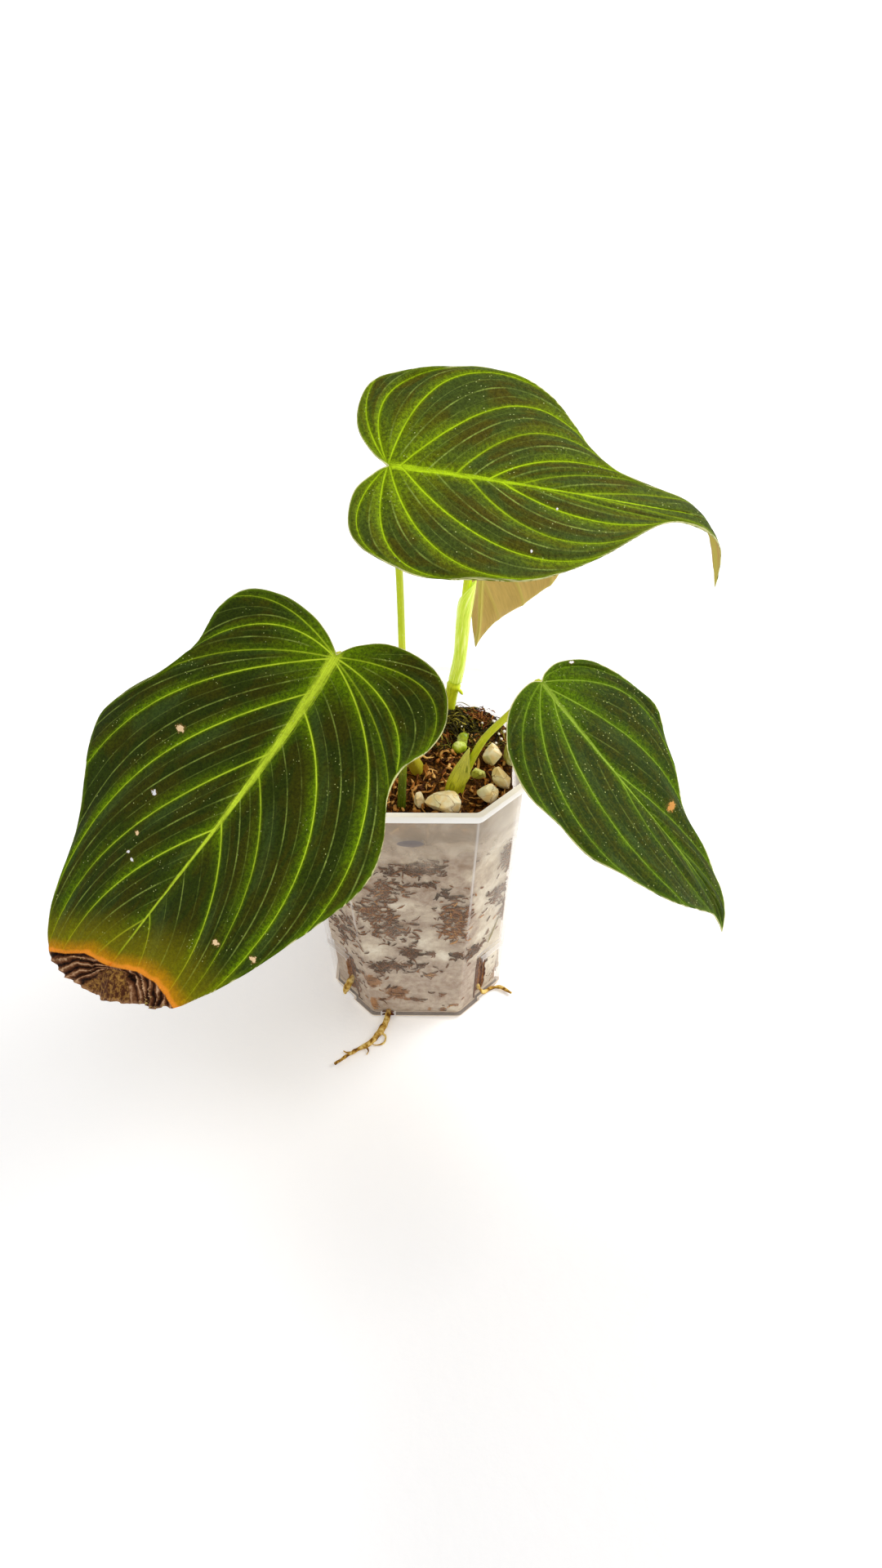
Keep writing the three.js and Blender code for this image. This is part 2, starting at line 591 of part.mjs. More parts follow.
// The blade point at share t of a column's curve, which leaves the midrib steeply and bends forward.
// It is kept clear of the margin where that runs in and out again.
function veinPoint(half, column, t, start) {
  const [bendS, bendR, share] = [1, 2, 3].map((item) => between(half.columns, column, item + 1));
  const end = half.curve.getPointAt(share);
  const [a, b, c] = [(1 - t) ** 2, 2 * t * (1 - t), t * t];
  const s = a * start + b * bendS + c * end.x;
  const out = Math.max(0, half.side * (b * bendR + c * end.y));
  const kept = t < 1 && s > 0 && s < SINGLE_REACH * half.tip;
  const limit = kept ? between(half.reach, s, 1) - MARGIN_INSET * (1 - t) : Infinity;
  return [s, half.side * Math.min(out, limit)];
}

// How far the blade lies off its smooth surface: swollen between veins, waved at the margin
function bladeLift(leaf, column, share, t) {
  if (t === 0) return 0;
  const [height, count, start] = leaf.wave;
  const offVein = Math.sin(Math.PI * column / COLUMNS_PER_VEIN) ** 2;
  const swell = VEIN_RELIEF * offVein * Math.sin(Math.PI * Math.min(1, 0.15 + 0.85 * t));
  const wave = height * t * t * Math.sin(2 * Math.PI * count * share + start);
  return swell + wave * Math.sin(Math.PI * share);
}

// A closed blade of two halves that meet on the midrib. Each half is a grid of columns from midrib
// to margin. Both faces are split into triangles alike, and a strip closes the margin.
function bladeGeometry(leaf) {
  const halves = [leaf.right, leaf.left].map(prepareHalf);
  const columnCount = (halves[0].rows.length - 1) * COLUMNS_PER_VEIN;
  halves.forEach((half) => {
    half.columns = half.rows.map((row, i) => [i * COLUMNS_PER_VEIN, ...row]);
  });
  const startOf = (half, column) => between(half.columns, column, 1);
  const points = [];
  const triangles = [];
  const addTurned = (turned, [a, b, c]) => triangles.push(turned ? [a, c, b] : [a, b, c]);

  halves.forEach((half) => {
    const grid = Array.from({ length: columnCount + 1 }, (_, column) => {
      const share = between(half.columns, column, 4);
      const shared = (startOf(halves[0], column) + startOf(halves[1], column)) / 2;
      return Array.from({ length: BLADE_ROWS + 1 }, (__, row) => {
        const t = row / BLADE_ROWS;
        const [s, r] = veinPoint(half, column, t, row === 0 ? shared : startOf(half, column));
        const lift = bladeLift(leaf, column, share, t);
        points.push(bladePoint(leaf, s, r, lift + BLADE / 2));
        points.push(bladePoint(leaf, s, r, lift - BLADE / 2));
        return points.length - 2;
      });
    });
    for (let i = 0; i < columnCount; i++) {
      for (let j = 0; j < BLADE_ROWS; j++) {
        const [a, b, c, d] = [grid[i][j], grid[i][j + 1], grid[i + 1][j + 1], grid[i + 1][j]];
        [[a, b, c], [a, c, d]].forEach((triangle) => {
          addTurned(half.side < 0, triangle);
          addTurned(half.side > 0, triangle.map((corner) => corner + 1));
        });
      }
      const [a, b] = [grid[i][BLADE_ROWS], grid[i + 1][BLADE_ROWS]];
      addTurned(half.side < 0, [a, a + 1, b + 1]);
      addTurned(half.side < 0, [a, b + 1, b]);
    }
  });
  return withoutSlivers(geometryFrom(points, triangles));
}

// Drops the triangles that shrink to a line where the side veins start together at the sinus
function withoutSlivers(geometry) {
  const merged = mergeVertices(geometry, 1e-4);
  const index = merged.index.array;
  const kept = [];
  for (let i = 0; i < index.length; i += 3) {
    const [a, b, c] = [index[i], index[i + 1], index[i + 2]];
    if (a !== b && b !== c && c !== a) kept.push(a, b, c);
  }
  merged.setIndex(kept);
  return merged;
}

// The left leaf's tip is dead and brown beyond this line across the blade, given as (s, r)
const DRY_LINE = [[138, 30], [127, 16], [121, 10], [117, 0], [110, -10], [107, -18], [107, -36]];
const ROUND_DRY_TIP = [vec(-75, -140, 0), vec(-140, -120, 0), vec(-125, -70, 0)];

function dryTipCutter(leaf, shift) {
  const line = DRY_LINE.map(([s, r]) => bladePoint(leaf, s + shift, r, 0));
  const outline = [...line, ...ROUND_DRY_TIP].map((p) => new THREE.Vector2(p.x, p.y));
  const block = new THREE.ExtrudeGeometry(new THREE.Shape(outline), { depth: 120, bevelEnabled: false });
  return toSolid(block.translate(0, 0, 50));
}

// Assembly

const plant = new THREE.Group();

function addPiece(name, geometry, finish) {
  const piece = new THREE.Mesh(geometry, new THREE.MeshStandardMaterial({ metalness: 0, ...finish }));
  piece.name = name;
  plant.add(piece);
}

addPiece('pot', toGeometry(potShell()), CLEAR);

// Every stem, root and stone sits in a plain hole in the mix
const holes = [
  ...PLANTED.map((name) => stemSolid(name, FIT_GAP)),
  ...ROOTED.map((name) => stemSolid(name, FIT_GAP)),
  ...Object.values(STONES).map((stone) => toSolid(stoneGeometry(stone, FIT_GAP))),
  budSolid(FIT_GAP),
];
addPiece('potting_mix', toGeometry(cutAll(mixBody(), holes)), BARK);

for (const [name, stone] of Object.entries(STONES)) {
  addPiece(name, stoneGeometry(stone), stone.at(-1));
}

for (const [name, stem] of Object.entries(STEMS)) {
  const geometry = name === 'stem_rear' ? toGeometry(rearStem()) : stemGeometry(stem.path, stem.radii);
  addPiece(name, geometry, stem.finish);
}
addPiece('sheath_rear', toGeometry(sheathSolid()), SHEATH);
addPiece('bud', toGeometry(budSolid()), PETIOLE);

for (const [name, leaf] of Object.entries(LEAVES)) {
  leaf.rows = followCourse(leaf.course, SINUS[name]);
  const geometry = bladeGeometry(leaf);
  if (name === 'left') {
    const blade = toSolid(geometry);
    addPiece('leaf_left', toGeometry(blade.subtract(dryTipCutter(leaf, 0))), leaf.finish);
    addPiece('leaf_left_dry_tip', toGeometry(blade.intersect(dryTipCutter(leaf, FIT_GAP))), DRY);
  } else {
    addPiece(`leaf_${name}`, geometry, leaf.finish);
  }
}

export default plant;
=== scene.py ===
# %% [markdown]
# # A young splendid philodendron in a clear square nursery pot
#
# Three heart-shaped velvet leaves hang round a small see-through pot that is full of bark and
# pumice, and a fourth leaf hangs behind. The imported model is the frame: it fixes where each part
# is. Every piece below is drawn in millimetres at the place of the part that it stands for.

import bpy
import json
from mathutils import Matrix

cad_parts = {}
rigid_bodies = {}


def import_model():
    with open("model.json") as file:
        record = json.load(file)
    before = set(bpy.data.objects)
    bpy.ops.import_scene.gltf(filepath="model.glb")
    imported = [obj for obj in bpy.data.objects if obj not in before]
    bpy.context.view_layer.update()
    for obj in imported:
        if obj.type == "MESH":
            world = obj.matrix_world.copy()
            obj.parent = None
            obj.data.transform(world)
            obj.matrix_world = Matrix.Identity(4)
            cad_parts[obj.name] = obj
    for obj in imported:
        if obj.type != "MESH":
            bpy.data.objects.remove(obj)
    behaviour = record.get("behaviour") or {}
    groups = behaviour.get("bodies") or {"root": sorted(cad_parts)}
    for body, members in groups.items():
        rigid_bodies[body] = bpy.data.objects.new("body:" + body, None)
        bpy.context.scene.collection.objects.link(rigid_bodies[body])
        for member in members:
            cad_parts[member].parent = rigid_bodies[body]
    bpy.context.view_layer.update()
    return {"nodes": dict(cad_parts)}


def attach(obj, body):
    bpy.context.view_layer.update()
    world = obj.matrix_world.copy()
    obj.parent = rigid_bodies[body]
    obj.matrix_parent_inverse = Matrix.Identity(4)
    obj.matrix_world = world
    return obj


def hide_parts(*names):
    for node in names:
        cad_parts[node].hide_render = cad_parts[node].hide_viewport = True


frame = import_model()

# %% What the lesson uses
import json
import math

import bmesh
import bpy
import numpy as np
from mathutils import Matrix, Vector

MM = 0.001
print("frame nodes:", len(frame["nodes"]))

# %% [markdown]
# ## Shader maths
#
# A finish is a small tree of nodes. It is easier to read as arithmetic, so a socket is wrapped
# in a class whose operators add Math nodes. Any other node comes from one method, which sets the
# node's settings first and its inputs after them.

# %% A socket that arithmetic works on
class Signal:
    """A number, colour or direction that varies over a surface."""

    def __init__(self, finish, socket):
        self.finish = finish
        self.socket = socket

    def __add__(self, other):
        return self.finish.math("ADD", self, other)

    def __radd__(self, other):
        return self.finish.math("ADD", other, self)

    def __sub__(self, other):
        return self.finish.math("SUBTRACT", self, other)

    def __rsub__(self, other):
        return self.finish.math("SUBTRACT", other, self)

    def __mul__(self, other):
        return self.finish.math("MULTIPLY", self, other)

    def __rmul__(self, other):
        return self.finish.math("MULTIPLY", other, self)

    def __truediv__(self, other):
        return self.finish.math("DIVIDE", self, other)

    def __abs__(self):
        return self.finish.math("ABSOLUTE", self)


# %% A material and its one way of adding a node
class BareFinish:
    """A material under construction."""

    def __init__(self, name, **sockets):
        self.material = bpy.data.materials.new(name)
        self.material.use_nodes = True
        self.tree = self.material.node_tree
        self.shader = self.tree.nodes["Principled BSDF"]
        self.set(**sockets)

    def set(self, **sockets):
        """Sets or links the shader's own sockets, such as base_color or roughness."""
        for key, value in sockets.items():
            self.feed(self.shader.inputs[key.replace("_", " ").title().replace("Ior", "IOR")], value)

    def feed(self, socket, value):
        if isinstance(value, Signal):
            self.tree.links.new(value.socket, socket)
        elif socket.type == "RGBA" and len(value) == 3:
            socket.default_value = (*value, 1)
        else:
            socket.default_value = value

    def node(self, kind, settings=None, inputs=None, output=0):
        node = self.tree.nodes.new(kind)
        for key, value in (settings or {}).items():
            if key == "stops":
                while len(node.color_ramp.elements) < len(value):
                    node.color_ramp.elements.new(0.5)
                for element, (position, colour) in zip(node.color_ramp.elements, value):
                    element.position = position
                    element.color = (*colour, 1)
            else:
                setattr(node, key, value)
        for key, value in (inputs or {}).items():
            self.feed(node.inputs[key], value)
        return Signal(self, node.outputs[output])

    def math(self, operation, *numbers):
        return self.node("ShaderNodeMath", {"operation": operation}, dict(enumerate(numbers)))


# %% The patterns that the plant needs
# The numbers of a Mix node's sockets for each kind: first input, second input, result
MIX_SOCKETS = {"FLOAT": (2, 3, 0), "RGBA": (6, 7, 2)}


class Finish(BareFinish):
    """A material with places, grains, steps, blends and relief, all in millimetres."""

    def drawn(self, name):
        """A number that the mesh carries at each point."""
        return self.node("ShaderNodeAttribute", {"attribute_name": name}, output="Fac")

    def place(self, stretch=(1, 1, 1)):
        """The point of the object in millimetres, with each axis stretched."""
        spot = self.node("ShaderNodeTexCoord", output="Object")
        scale = tuple(s / MM for s in stretch)
        return self.node("ShaderNodeVectorMath", {"operation": "MULTIPLY"}, {0: spot, 1: scale})

    def point(self, x=0, y=0, z=0):
        return self.node("ShaderNodeCombineXYZ", None, {0: x, 1: y, 2: z})

    def axis(self, spot, letter):
        """One of the three numbers of a point."""
        return self.node("ShaderNodeSeparateXYZ", None, {0: spot}, letter)

    def grain(self, size, where=None, detail=3.0, rough=0.55, twist=0.0):
        """Cloudy noise from 0 to 1 with lumps of about this many millimetres."""
        inputs = {"Vector": where or self.place(), "Scale": 1 / size, "Detail": detail}
        inputs.update({"Roughness": rough, "Distortion": twist})
        return self.node("ShaderNodeTexNoise", None, inputs)

    def cells(self, size, where=None):
        """Distance to the nearest of many scattered points, from 0 up, in cell widths."""
        inputs = {"Vector": where or self.place(), "Scale": 1 / size, "Randomness": 1.0}
        return self.node("ShaderNodeTexVoronoi", None, inputs, "Distance")

    def rise(self, value, low, high):
        """0 below low, 1 above high, and a soft step between. Low may be the larger."""
        inputs = {0: value, 1: low, 2: high}
        return self.node("ShaderNodeMapRange", {"interpolation_type": "SMOOTHSTEP"}, inputs)

    def blend(self, share, first, second, kind="RGBA"):
        """The first colour or number where share is 0, the second where it is 1."""
        a, b, out = MIX_SOCKETS[kind]
        return self.node("ShaderNodeMix", {"data_type": kind}, {0: share, a: first, b: second}, out)

    def shade(self, colour, amount):
        """A colour made lighter or darker by a number that varies."""
        return self.node("ShaderNodeVectorMath", {"operation": "SCALE"}, {0: colour, "Scale": amount})

    def ramp(self, value, *stops):
        """A colour picked by a number. Stops are pairs (number, colour)."""
        return self.node("ShaderNodeValToRGB", {"stops": stops}, {0: value})

    def bump(self, height, depth):
        """Small relief: depth is in millimetres."""
        inputs = {"Height": height, "Distance": depth * MM, "Strength": 1.0}
        self.set(normal=self.node("ShaderNodeBump", None, inputs))


def paint(red, green, blue):
    """A colour as it is read off a screen, 0 to 255, turned into the shader's own numbers."""
    parts = [value / 255 for value in (red, green, blue)]
    return tuple(p / 12.92 if p <= 0.04045 else ((p + 0.055) / 1.055) ** 2.4 for p in parts)


print("shader helpers ready")

# %% [markdown]
# ## From numbers to a piece
#
# All the pieces are drawn by code as bodies: a list of points in millimetres, a list of faces
# and the numbers that a finish needs at each point, such as the distance to a vein. One function
# turns a body into an object, gives it its finish, and says which part of the frame it rides on
# and stands for.

# %% Make a piece
def store_numbers(mesh, numbers):
    for key, values in numbers.items():
        layer = mesh.attributes.new(key, "FLOAT", "POINT")
        layer.data.foreach_set("value", np.asarray(values, dtype=np.float32))


def bare_object(name, body):
    """An object in the scene with no finish yet, from (points, faces, numbers)."""
    points, faces, numbers = body
    mesh = bpy.data.meshes.new(name)
    mesh.from_pydata((np.asarray(points, float) * MM).tolist(), [], [list(map(int, f)) for f in faces])
    store_numbers(mesh, numbers)
    thing = bpy.data.objects.new(name, mesh)
    bpy.context.scene.collection.objects.link(thing)
    return thing


def dress(piece, finishes, sharp=None):
    """Gives a piece its finishes and a smooth skin, with edges over sharp degrees kept."""
    piece.data.materials.clear()
    for finish in finishes:
        piece.data.materials.append(finish.material)
    piece.data.shade_smooth()
    if sharp is not None:
        piece.data.set_sharp_from_angle(angle=math.radians(sharp))
    print(f"{piece.name}: {len(piece.data.vertices)} points, {len(piece.data.polygons)} faces")


def make_piece(name, body, finishes, stands_for=()):
    piece = bare_object(name, body)
    dress(piece, finishes)
    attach(piece, "root")
    if stands_for:
        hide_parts(*stands_for)
    return piece


# %% Slow random waves, the same on every run
LATTICE = 32


def lumps(points, size, seed):
    """A number from about -1 to 1 at each point, with a new lump every size millimetres."""
    lattice = np.random.default_rng(seed).uniform(-1, 1, (LATTICE,) * 3)
    cell = np.asarray(points, float) / size
    low = np.floor(cell).astype(int)
    part = cell - low
    part = part * part * (3 - 2 * part)
    total = 0
    for corner in np.ndindex(2, 2, 2):
        weight = np.prod(np.where(np.array(corner) == 1, part, 1 - part), axis=-1)
        index = (low + corner) % LATTICE
        total = total + weight * lattice[index[..., 0], index[..., 1], index[..., 2]]
    return total


def soft_step(value, low, high):
    share = np.clip((value - low) / (high - low), 0, 1)
    return share * share * (3 - 2 * share)


# %% [markdown]
# ## Camera, floor and light
#
# The photograph was taken from above at about 44 degrees, with the plant on a white table in
# bright even light. The camera's place was worked out from the square rim and the upright edges
# of the pot. A pale floor that glows a little, a white sky, one big soft lamp from the right and
# a weak one from the left give the same washed-out white with hardly any shadow.

# %% The camera
PITCH, YAW, ROLL = math.radians(44.2), math.radians(-1.35), math.radians(-0.7)
CAMERA_PLACE = (0.0175, -0.3016, 0.3921)
SENSOR_WIDTH, FOCAL_LENGTH = 36, 26.59
NEAREST = 0.01

ahead = Vector((math.sin(YAW) * math.cos(PITCH), math.cos(YAW) * math.cos(PITCH), -math.sin(PITCH)))
level = Vector((math.cos(YAW), -math.sin(YAW), 0))
upward = level.cross(ahead)
aside = math.cos(ROLL) * level + math.sin(ROLL) * upward
above = math.cos(ROLL) * upward - math.sin(ROLL) * level

camera = bpy.data.objects.new("camera", bpy.data.cameras.new("camera"))
bpy.context.scene.collection.objects.link(camera)
turn = Matrix((aside, above, -ahead)).transposed().to_4x4()
camera.matrix_world = Matrix.Translation(CAMERA_PLACE) @ turn
camera.data.sensor_width = SENSOR_WIDTH
camera.data.lens = FOCAL_LENGTH
camera.data.clip_start = NEAREST
bpy.context.scene.camera = camera
print("camera at", tuple(round(v, 4) for v in camera.location))

# %% The floor
FLOOR_HALF = 12000
FLOOR_DROP = 0.2
TABLE_WHITE = paint(238, 237, 237)

table = Finish("pale_table", roughness=0.6, emission_strength=1.0)
spot = table.place()
rightward, behind = (table.axis(spot, letter) for letter in "XY")
# Painted shade and light on the floor: darker in front of the pot except at the far left, glowing more far
# behind
near_painted_shade = table.rise(behind, -20, -140) * table.rise(rightward, -110, 20)
far_glow = 0.3 * table.rise(behind, 300, 1600)
table.set(emission_color=table.shade((1, 1, 1), 0.24 + far_glow - 0.18 * near_painted_shade))
table.set(base_color=table.shade(TABLE_WHITE, 1 - 0.13 * near_painted_shade))
table.bump(table.grain(6, detail=6), 0.15)
floor_corners = [(x * FLOOR_HALF, y * FLOOR_HALF, -FLOOR_DROP)
                 for x, y in ((-1, -1), (1, -1), (1, 1), (-1, 1))]
floor = bare_object("floor", (floor_corners, [(0, 1, 2, 3)], {}))
floor.data.materials.append(table.material)
print("floor:", 2 * FLOOR_HALF * MM, "m wide")

# %% The light
SKY_STRENGTH = 0.62
LAMP_AIM = Vector((0, 0, 0.12))

sky = bpy.data.worlds.new("white_room")
bpy.context.scene.world = sky
sky.use_nodes = True
sky.node_tree.nodes["Background"].inputs["Color"].default_value = (1, 1, 1, 1)
sky.node_tree.nodes["Background"].inputs["Strength"].default_value = SKY_STRENGTH


def soft_lamp(name, place, size, power):
    light = bpy.data.lights.new(name, "AREA")
    light.shape = "DISK"
    light.size = size
    light.energy = power
    lamp = bpy.data.objects.new(name, light)
    bpy.context.scene.collection.objects.link(lamp)
    lamp.location = place
    lamp.rotation_euler = (LAMP_AIM - Vector(place)).to_track_quat("-Z", "Y").to_euler()


soft_lamp("window_light", (0.95, 0.25, 1.05), 0.9, 17)
soft_lamp("fill_light", (-0.6, -0.9, 1.3), 1.2, 4)
bpy.context.scene.view_settings.view_transform = "Standard"
bpy.context.scene.view_settings.look = "None"
print("two lamps and a white sky")

# %% [markdown]
# ## The leaves: one bent surface each
#
# A leaf blade is a thin sheet that turns, droops and rolls along its midrib and curls across it.
# It could be a flat outline with a curve modifier, but the side veins would then run over it
# blindly. Here each blade is a grid that follows its own veins: a column of points starts on
# the midrib, bends forward and ends on the margin, and every whole number of columns is a vein.
# So grooves, quilted swells and bright lines all meet exactly.

# %% Tables of the top and the left leaf, as in the part's source
# S runs along the midrib from the sinus, where the stalk joins, and r runs across it, positive
# to the right. Both are in millimetres, and angles are in degrees.
# Course rows: [s, heading, droop, roll, fold right, fold left, curl right, curl left].
# A fold is the bend right at the midrib, and a curl is what the blade bends in CURL_SPAN.
# Margin rows: [s, r]. A wave is its height, how many there are, and where the first starts.
# Vein rows: [s where it leaves the midrib, bend s, bend r, share of the margin, strength].
# The first row of each half is the edge of the lobe, which carries no vein that shows.
BLADE_BACK = 30      # how far the lobes reach behind the sinus
CURL_SPAN = 50
MARGIN_INSET = 2.0   # inner points stay this far from the margin
SINGLE_REACH = 0.93  # share of the length where the margin goes only forward

TOP = {
    "sinus": (-2.4, -18.4, 236.2),
    "course": [
        [0, -14, 0, -26, 4, 4, -14, -14], [30, -5, 7, -26, 4, 4, -14, -14],
        [60, 5, 14, -26, 4, 4, -14, -24], [84, 22, 22, -24, 4, 4, -20, -30],
        [94, 30, 46, -18, 4, 4, -20, -20], [104, 28, 72, -10, 4, 4, -14, -14],
        [120, 22, 84, -5, 4, 4, -14, -14],
    ],
    "right_margin": [
        [0, 0], [-3, 3], [-7, 10], [-6, 20], [-1, 26], [8, 30], [16, 32], [28, 30], [40, 29],
        [49, 25], [60, 17], [71, 8.5], [80, 3.8], [88, 3.6], [98, 4], [109, 2.5], [120, 0],
    ],
    "right_veins": [
        [0, -4, 4.5, 0.06, 0.1], [0, -12, 22, 0.25, 1], [0, 0, 33.5, 0.35, 1],
        [0.5, 16, 35, 0.48, 1], [4, 36, 32, 0.6, 1], [22, 44, 25, 0.67, 0.6],
        [31, 53, 13, 0.735, 1], [42, 64, 4.4, 0.79, 0.35], [54, 80, 2.4, 0.88, 0.3],
    ],
    "left_margin": [
        [0, 0], [-5, -3], [-11, -10], [-13, -19], [-11, -27], [-3, -31], [10, -35], [20, -37],
        [32, -35], [42, -30.5], [50, -23.5], [56, -15.5], [62, -10], [70, -7.5], [80, -6.5],
        [92, -5.5], [104, -4], [114, -2], [120, 0],
    ],
    "left_veins": [
        [0, -5, -4, 0.06, 0.1], [0, -14, -15, 0.19, 1], [0, -17, -26, 0.32, 1],
        [0, 2, -44, 0.49, 1], [3, 32, -40, 0.61, 1], [18.5, 37, -27, 0.65, 0.6],
        [27.5, 42, -13, 0.69, 1], [36, 51, -8, 0.73, 0.4], [52, 74, -5, 0.87, 0.4],
    ],
    "wave": (0.8, 4.5, 0.6),
}
LEFT = {
    "sinus": (-20, -24, 176.5),
    "course": [
        [0, 242, 22, 6, 6, 6, -6, -14], [40, 229, 30, 6, 6, 6, -6, -14],
        [80, 219, 37, 6, 6, 6, -6, -14], [115, 214, 43, 6, 6, 6, -6, -14],
        [150, 210, 46, 6, 6, 6, -6, -14],
    ],
    "right_margin": [
        [0, 0], [-5, 6], [-9, 14], [-11, 25], [-8, 36], [2, 41], [18, 42], [34, 47], [48, 55],
        [60, 59], [72, 55], [88, 46], [104, 38], [120, 32], [129, 26], [133, 18], [131, 8],
        [129, 0],
    ],
    "right_veins": [
        [0, -3.5, 6, 0.07, 0.1], [1, -14, 26, 0.21, 0.6], [1.2, -12, 33, 0.37, 1],
        [1.4, 10, 41, 0.48, 0.5], [1.5, 30, 49, 0.61, 1], [14, 61, 48, 0.81, 1],
        [36, 91, 38, 0.885, 0.8], [64, 101, 24, 0.92, 0.9], [98, 117, 8.6, 0.97, 0.5],
    ],
    "left_margin": [
        [0, 0], [-5, -5], [-9, -14], [-8, -26], [-3, -35], [6, -41], [14, -41], [22, -37.5],
        [30, -39], [40, -46], [50, -49], [62, -47], [80, -41], [97, -34], [109, -27], [119, -15],
        [129, 0],
    ],
    "left_veins": [
        [0, -4, -5.5, 0.07, 0.1], [1, -8, -40, 0.31, 0.6], [1.2, 8, -34, 0.38, 1],
        [1.6, 20, -38.5, 0.48, 0.4], [2, 32, -47, 0.6, 1], [20, 50, -42, 0.75, 1],
        [43, 68, -30, 0.8, 0.6], [61, 85, -26, 0.855, 0.9], [96, 102, -10, 0.93, 0.5],
    ],
    "wave": (0.9, 5, 1.4),
}
print("tips of top and left leaf:", [leaf["left_margin"][-1] for leaf in (TOP, LEFT)])

# %% Tables of the right and the rear leaf
RIGHT = {
    "sinus": (42.6, -19.3, 162.5),
    "course": [
        [0, -53, 22, 0, 5, 5, -16, -16], [35, -37, 36, 0, 5, 5, -16, -16],
        [70, -22, 48, 0, 5, 5, -16, -16], [90, -22, 56, 0, 5, 5, -16, -16],
        [106, -50, 75, 0, 5, 5, -16, -16],
    ],
    "right_margin": [
        [0, 0], [-1, 4], [1, 11], [5, 18], [12, 25], [20, 29], [27, 31], [36, 30], [46, 30],
        [55, 27], [65, 23], [76, 18], [86, 11], [95, 4], [101, 1.5], [106, 0],
    ],
    "right_veins": [
        [0, -0.6, 3, 0.05, 0.1], [0, 12, 27, 0.4, 0.6], [0.3, 31, 31, 0.6, 0.9],
        [6, 46, 22, 0.77, 0.9], [39, 69, 11, 0.9, 0.5], [68, 88, 4, 0.96, 0.3],
    ],
    "left_margin": [
        [0, 0], [-2, -3], [-3, -9], [0, -17], [6, -22], [15, -27], [26, -30], [34, -30],
        [44, -26], [53, -21], [61, -16], [70, -12], [80, -9.5], [90, -7], [97, -4], [102, -1.5],
        [106, 0],
    ],
    "left_veins": [
        [0, -2.6, -3.2, 0.06, 0.1], [0, -6, -17, 0.33, 0.5], [0.3, 15, -38, 0.59, 0.9],
        [2.3, 38, -21, 0.66, 0.9], [36, 64, -8, 0.85, 0.7], [68, 85, -3.5, 0.94, 0.3],
    ],
    "wave": (0.6, 5, 2.2),
}
REAR = {
    "sinus": (25.3, 37, 199),
    "course": [
        [0, 95, 74, -35, 42, 42, -8, -8], [30, 95, 80, -35, 42, 42, -8, -8],
        [60, 97, 84, -35, 42, 42, -8, -8], [78, 130, 76, -35, 42, 42, -8, -8],
    ],
    "right_margin": [
        [0, 0], [-4, 6], [-7, 14], [-4, 22], [6, 28], [20, 31], [35, 31], [47, 28], [54, 22],
        [61, 14.5], [66.5, 7.5], [71, 4], [78, 0],
    ],
    "right_veins": [
        [0, -3, 5.5, 0.06, 0.1], [0, -9, 17, 0.22, 0.8], [0, 2, 32, 0.4, 1],
        [1, 20, 36, 0.56, 1], [8, 36, 27, 0.68, 0.8], [24, 46, 15, 0.79, 0.8],
        [42, 58, 6, 0.88, 0.5],
    ],
    "left_margin": [
        [0, 0], [-4, -6], [-7, -14], [-4, -21], [6, -25], [20, -26], [33, -23], [44, -17],
        [53, -11], [61, -7], [67, -4.5], [72, -2.5], [78, 0],
    ],
    "left_veins": [
        [0, -3, -5.5, 0.06, 0.1], [0, -9, -16, 0.22, 0.8], [0, 2, -28, 0.4, 1],
        [1, 18, -28, 0.56, 1], [8, 34, -19, 0.68, 0.8], [24, 44, -10, 0.79, 0.8],
        [42, 57, -5, 0.88, 0.5],
    ],
    "wave": (0.6, 4, 0.3),
}

print("tips of right and rear leaf:", [leaf["left_margin"][-1] for leaf in (RIGHT, REAR)])


# %% The midrib's course, one row for each millimetre
def follow_course(leaf):
    course = np.array(leaf["course"], float)
    s = np.arange(-BLADE_BACK, int(course[-1, 0]) + 1)
    heading, droop, roll = (np.radians(np.interp(s, course[:, 0], course[:, k])) for k in (1, 2, 3))
    along = np.stack([np.cos(droop) * np.cos(heading), np.cos(droop) * np.sin(heading),
                      -np.sin(droop)], -1)
    aside = np.stack([np.sin(heading), -np.cos(heading), 0 * heading], -1)
    up = np.cos(roll)[:, None] * np.cross(aside, along) - np.sin(roll)[:, None] * aside
    place = np.zeros_like(along)
    place[BLADE_BACK] = leaf["sinus"]
    for i in range(BLADE_BACK + 1, len(s)):
        place[i] = place[i - 1] + (along[i] + along[i - 1]) / 2
    for i in range(BLADE_BACK - 1, -1, -1):
        place[i] = place[i + 1] - (along[i] + along[i + 1]) / 2
    return {"course": course, "place": place, "up": up, "across": np.cross(along, up)}


def blade_point(track, s, r, lift):
    """Points of the bent sheet at (s, r), lifted off it by some height."""
    course = track["course"]
    at = np.clip(s + BLADE_BACK, 0, len(track["place"]) - 1.001)
    low = np.floor(at).astype(int)
    part = (at - low)[..., None]
    place, up, across = (track[key][low] * (1 - part) + track[key][low + 1] * part
                         for key in ("place", "up", "across"))
    side = np.where(r < 0, -1, 1)

    def pick(right, left):
        right_value, left_value = (np.interp(s, course[:, 0], course[:, k]) for k in (right, left))
        return np.radians(np.where(side > 0, right_value, left_value))

    fold = pick(4, 5)
    curl = pick(6, 7) / CURL_SPAN
    bend = fold + curl * np.abs(r)
    out = (np.sin(bend) - np.sin(fold)) / curl
    rise = (np.cos(fold) - np.cos(bend)) / curl
    return (place + across * (side * (out - lift * np.sin(bend)))[..., None]
            + up * (rise + lift * np.cos(bend))[..., None])


print("leaf courses ready")


# %% The margin as a smooth curve through its points
MARGIN_STEPS = 1200


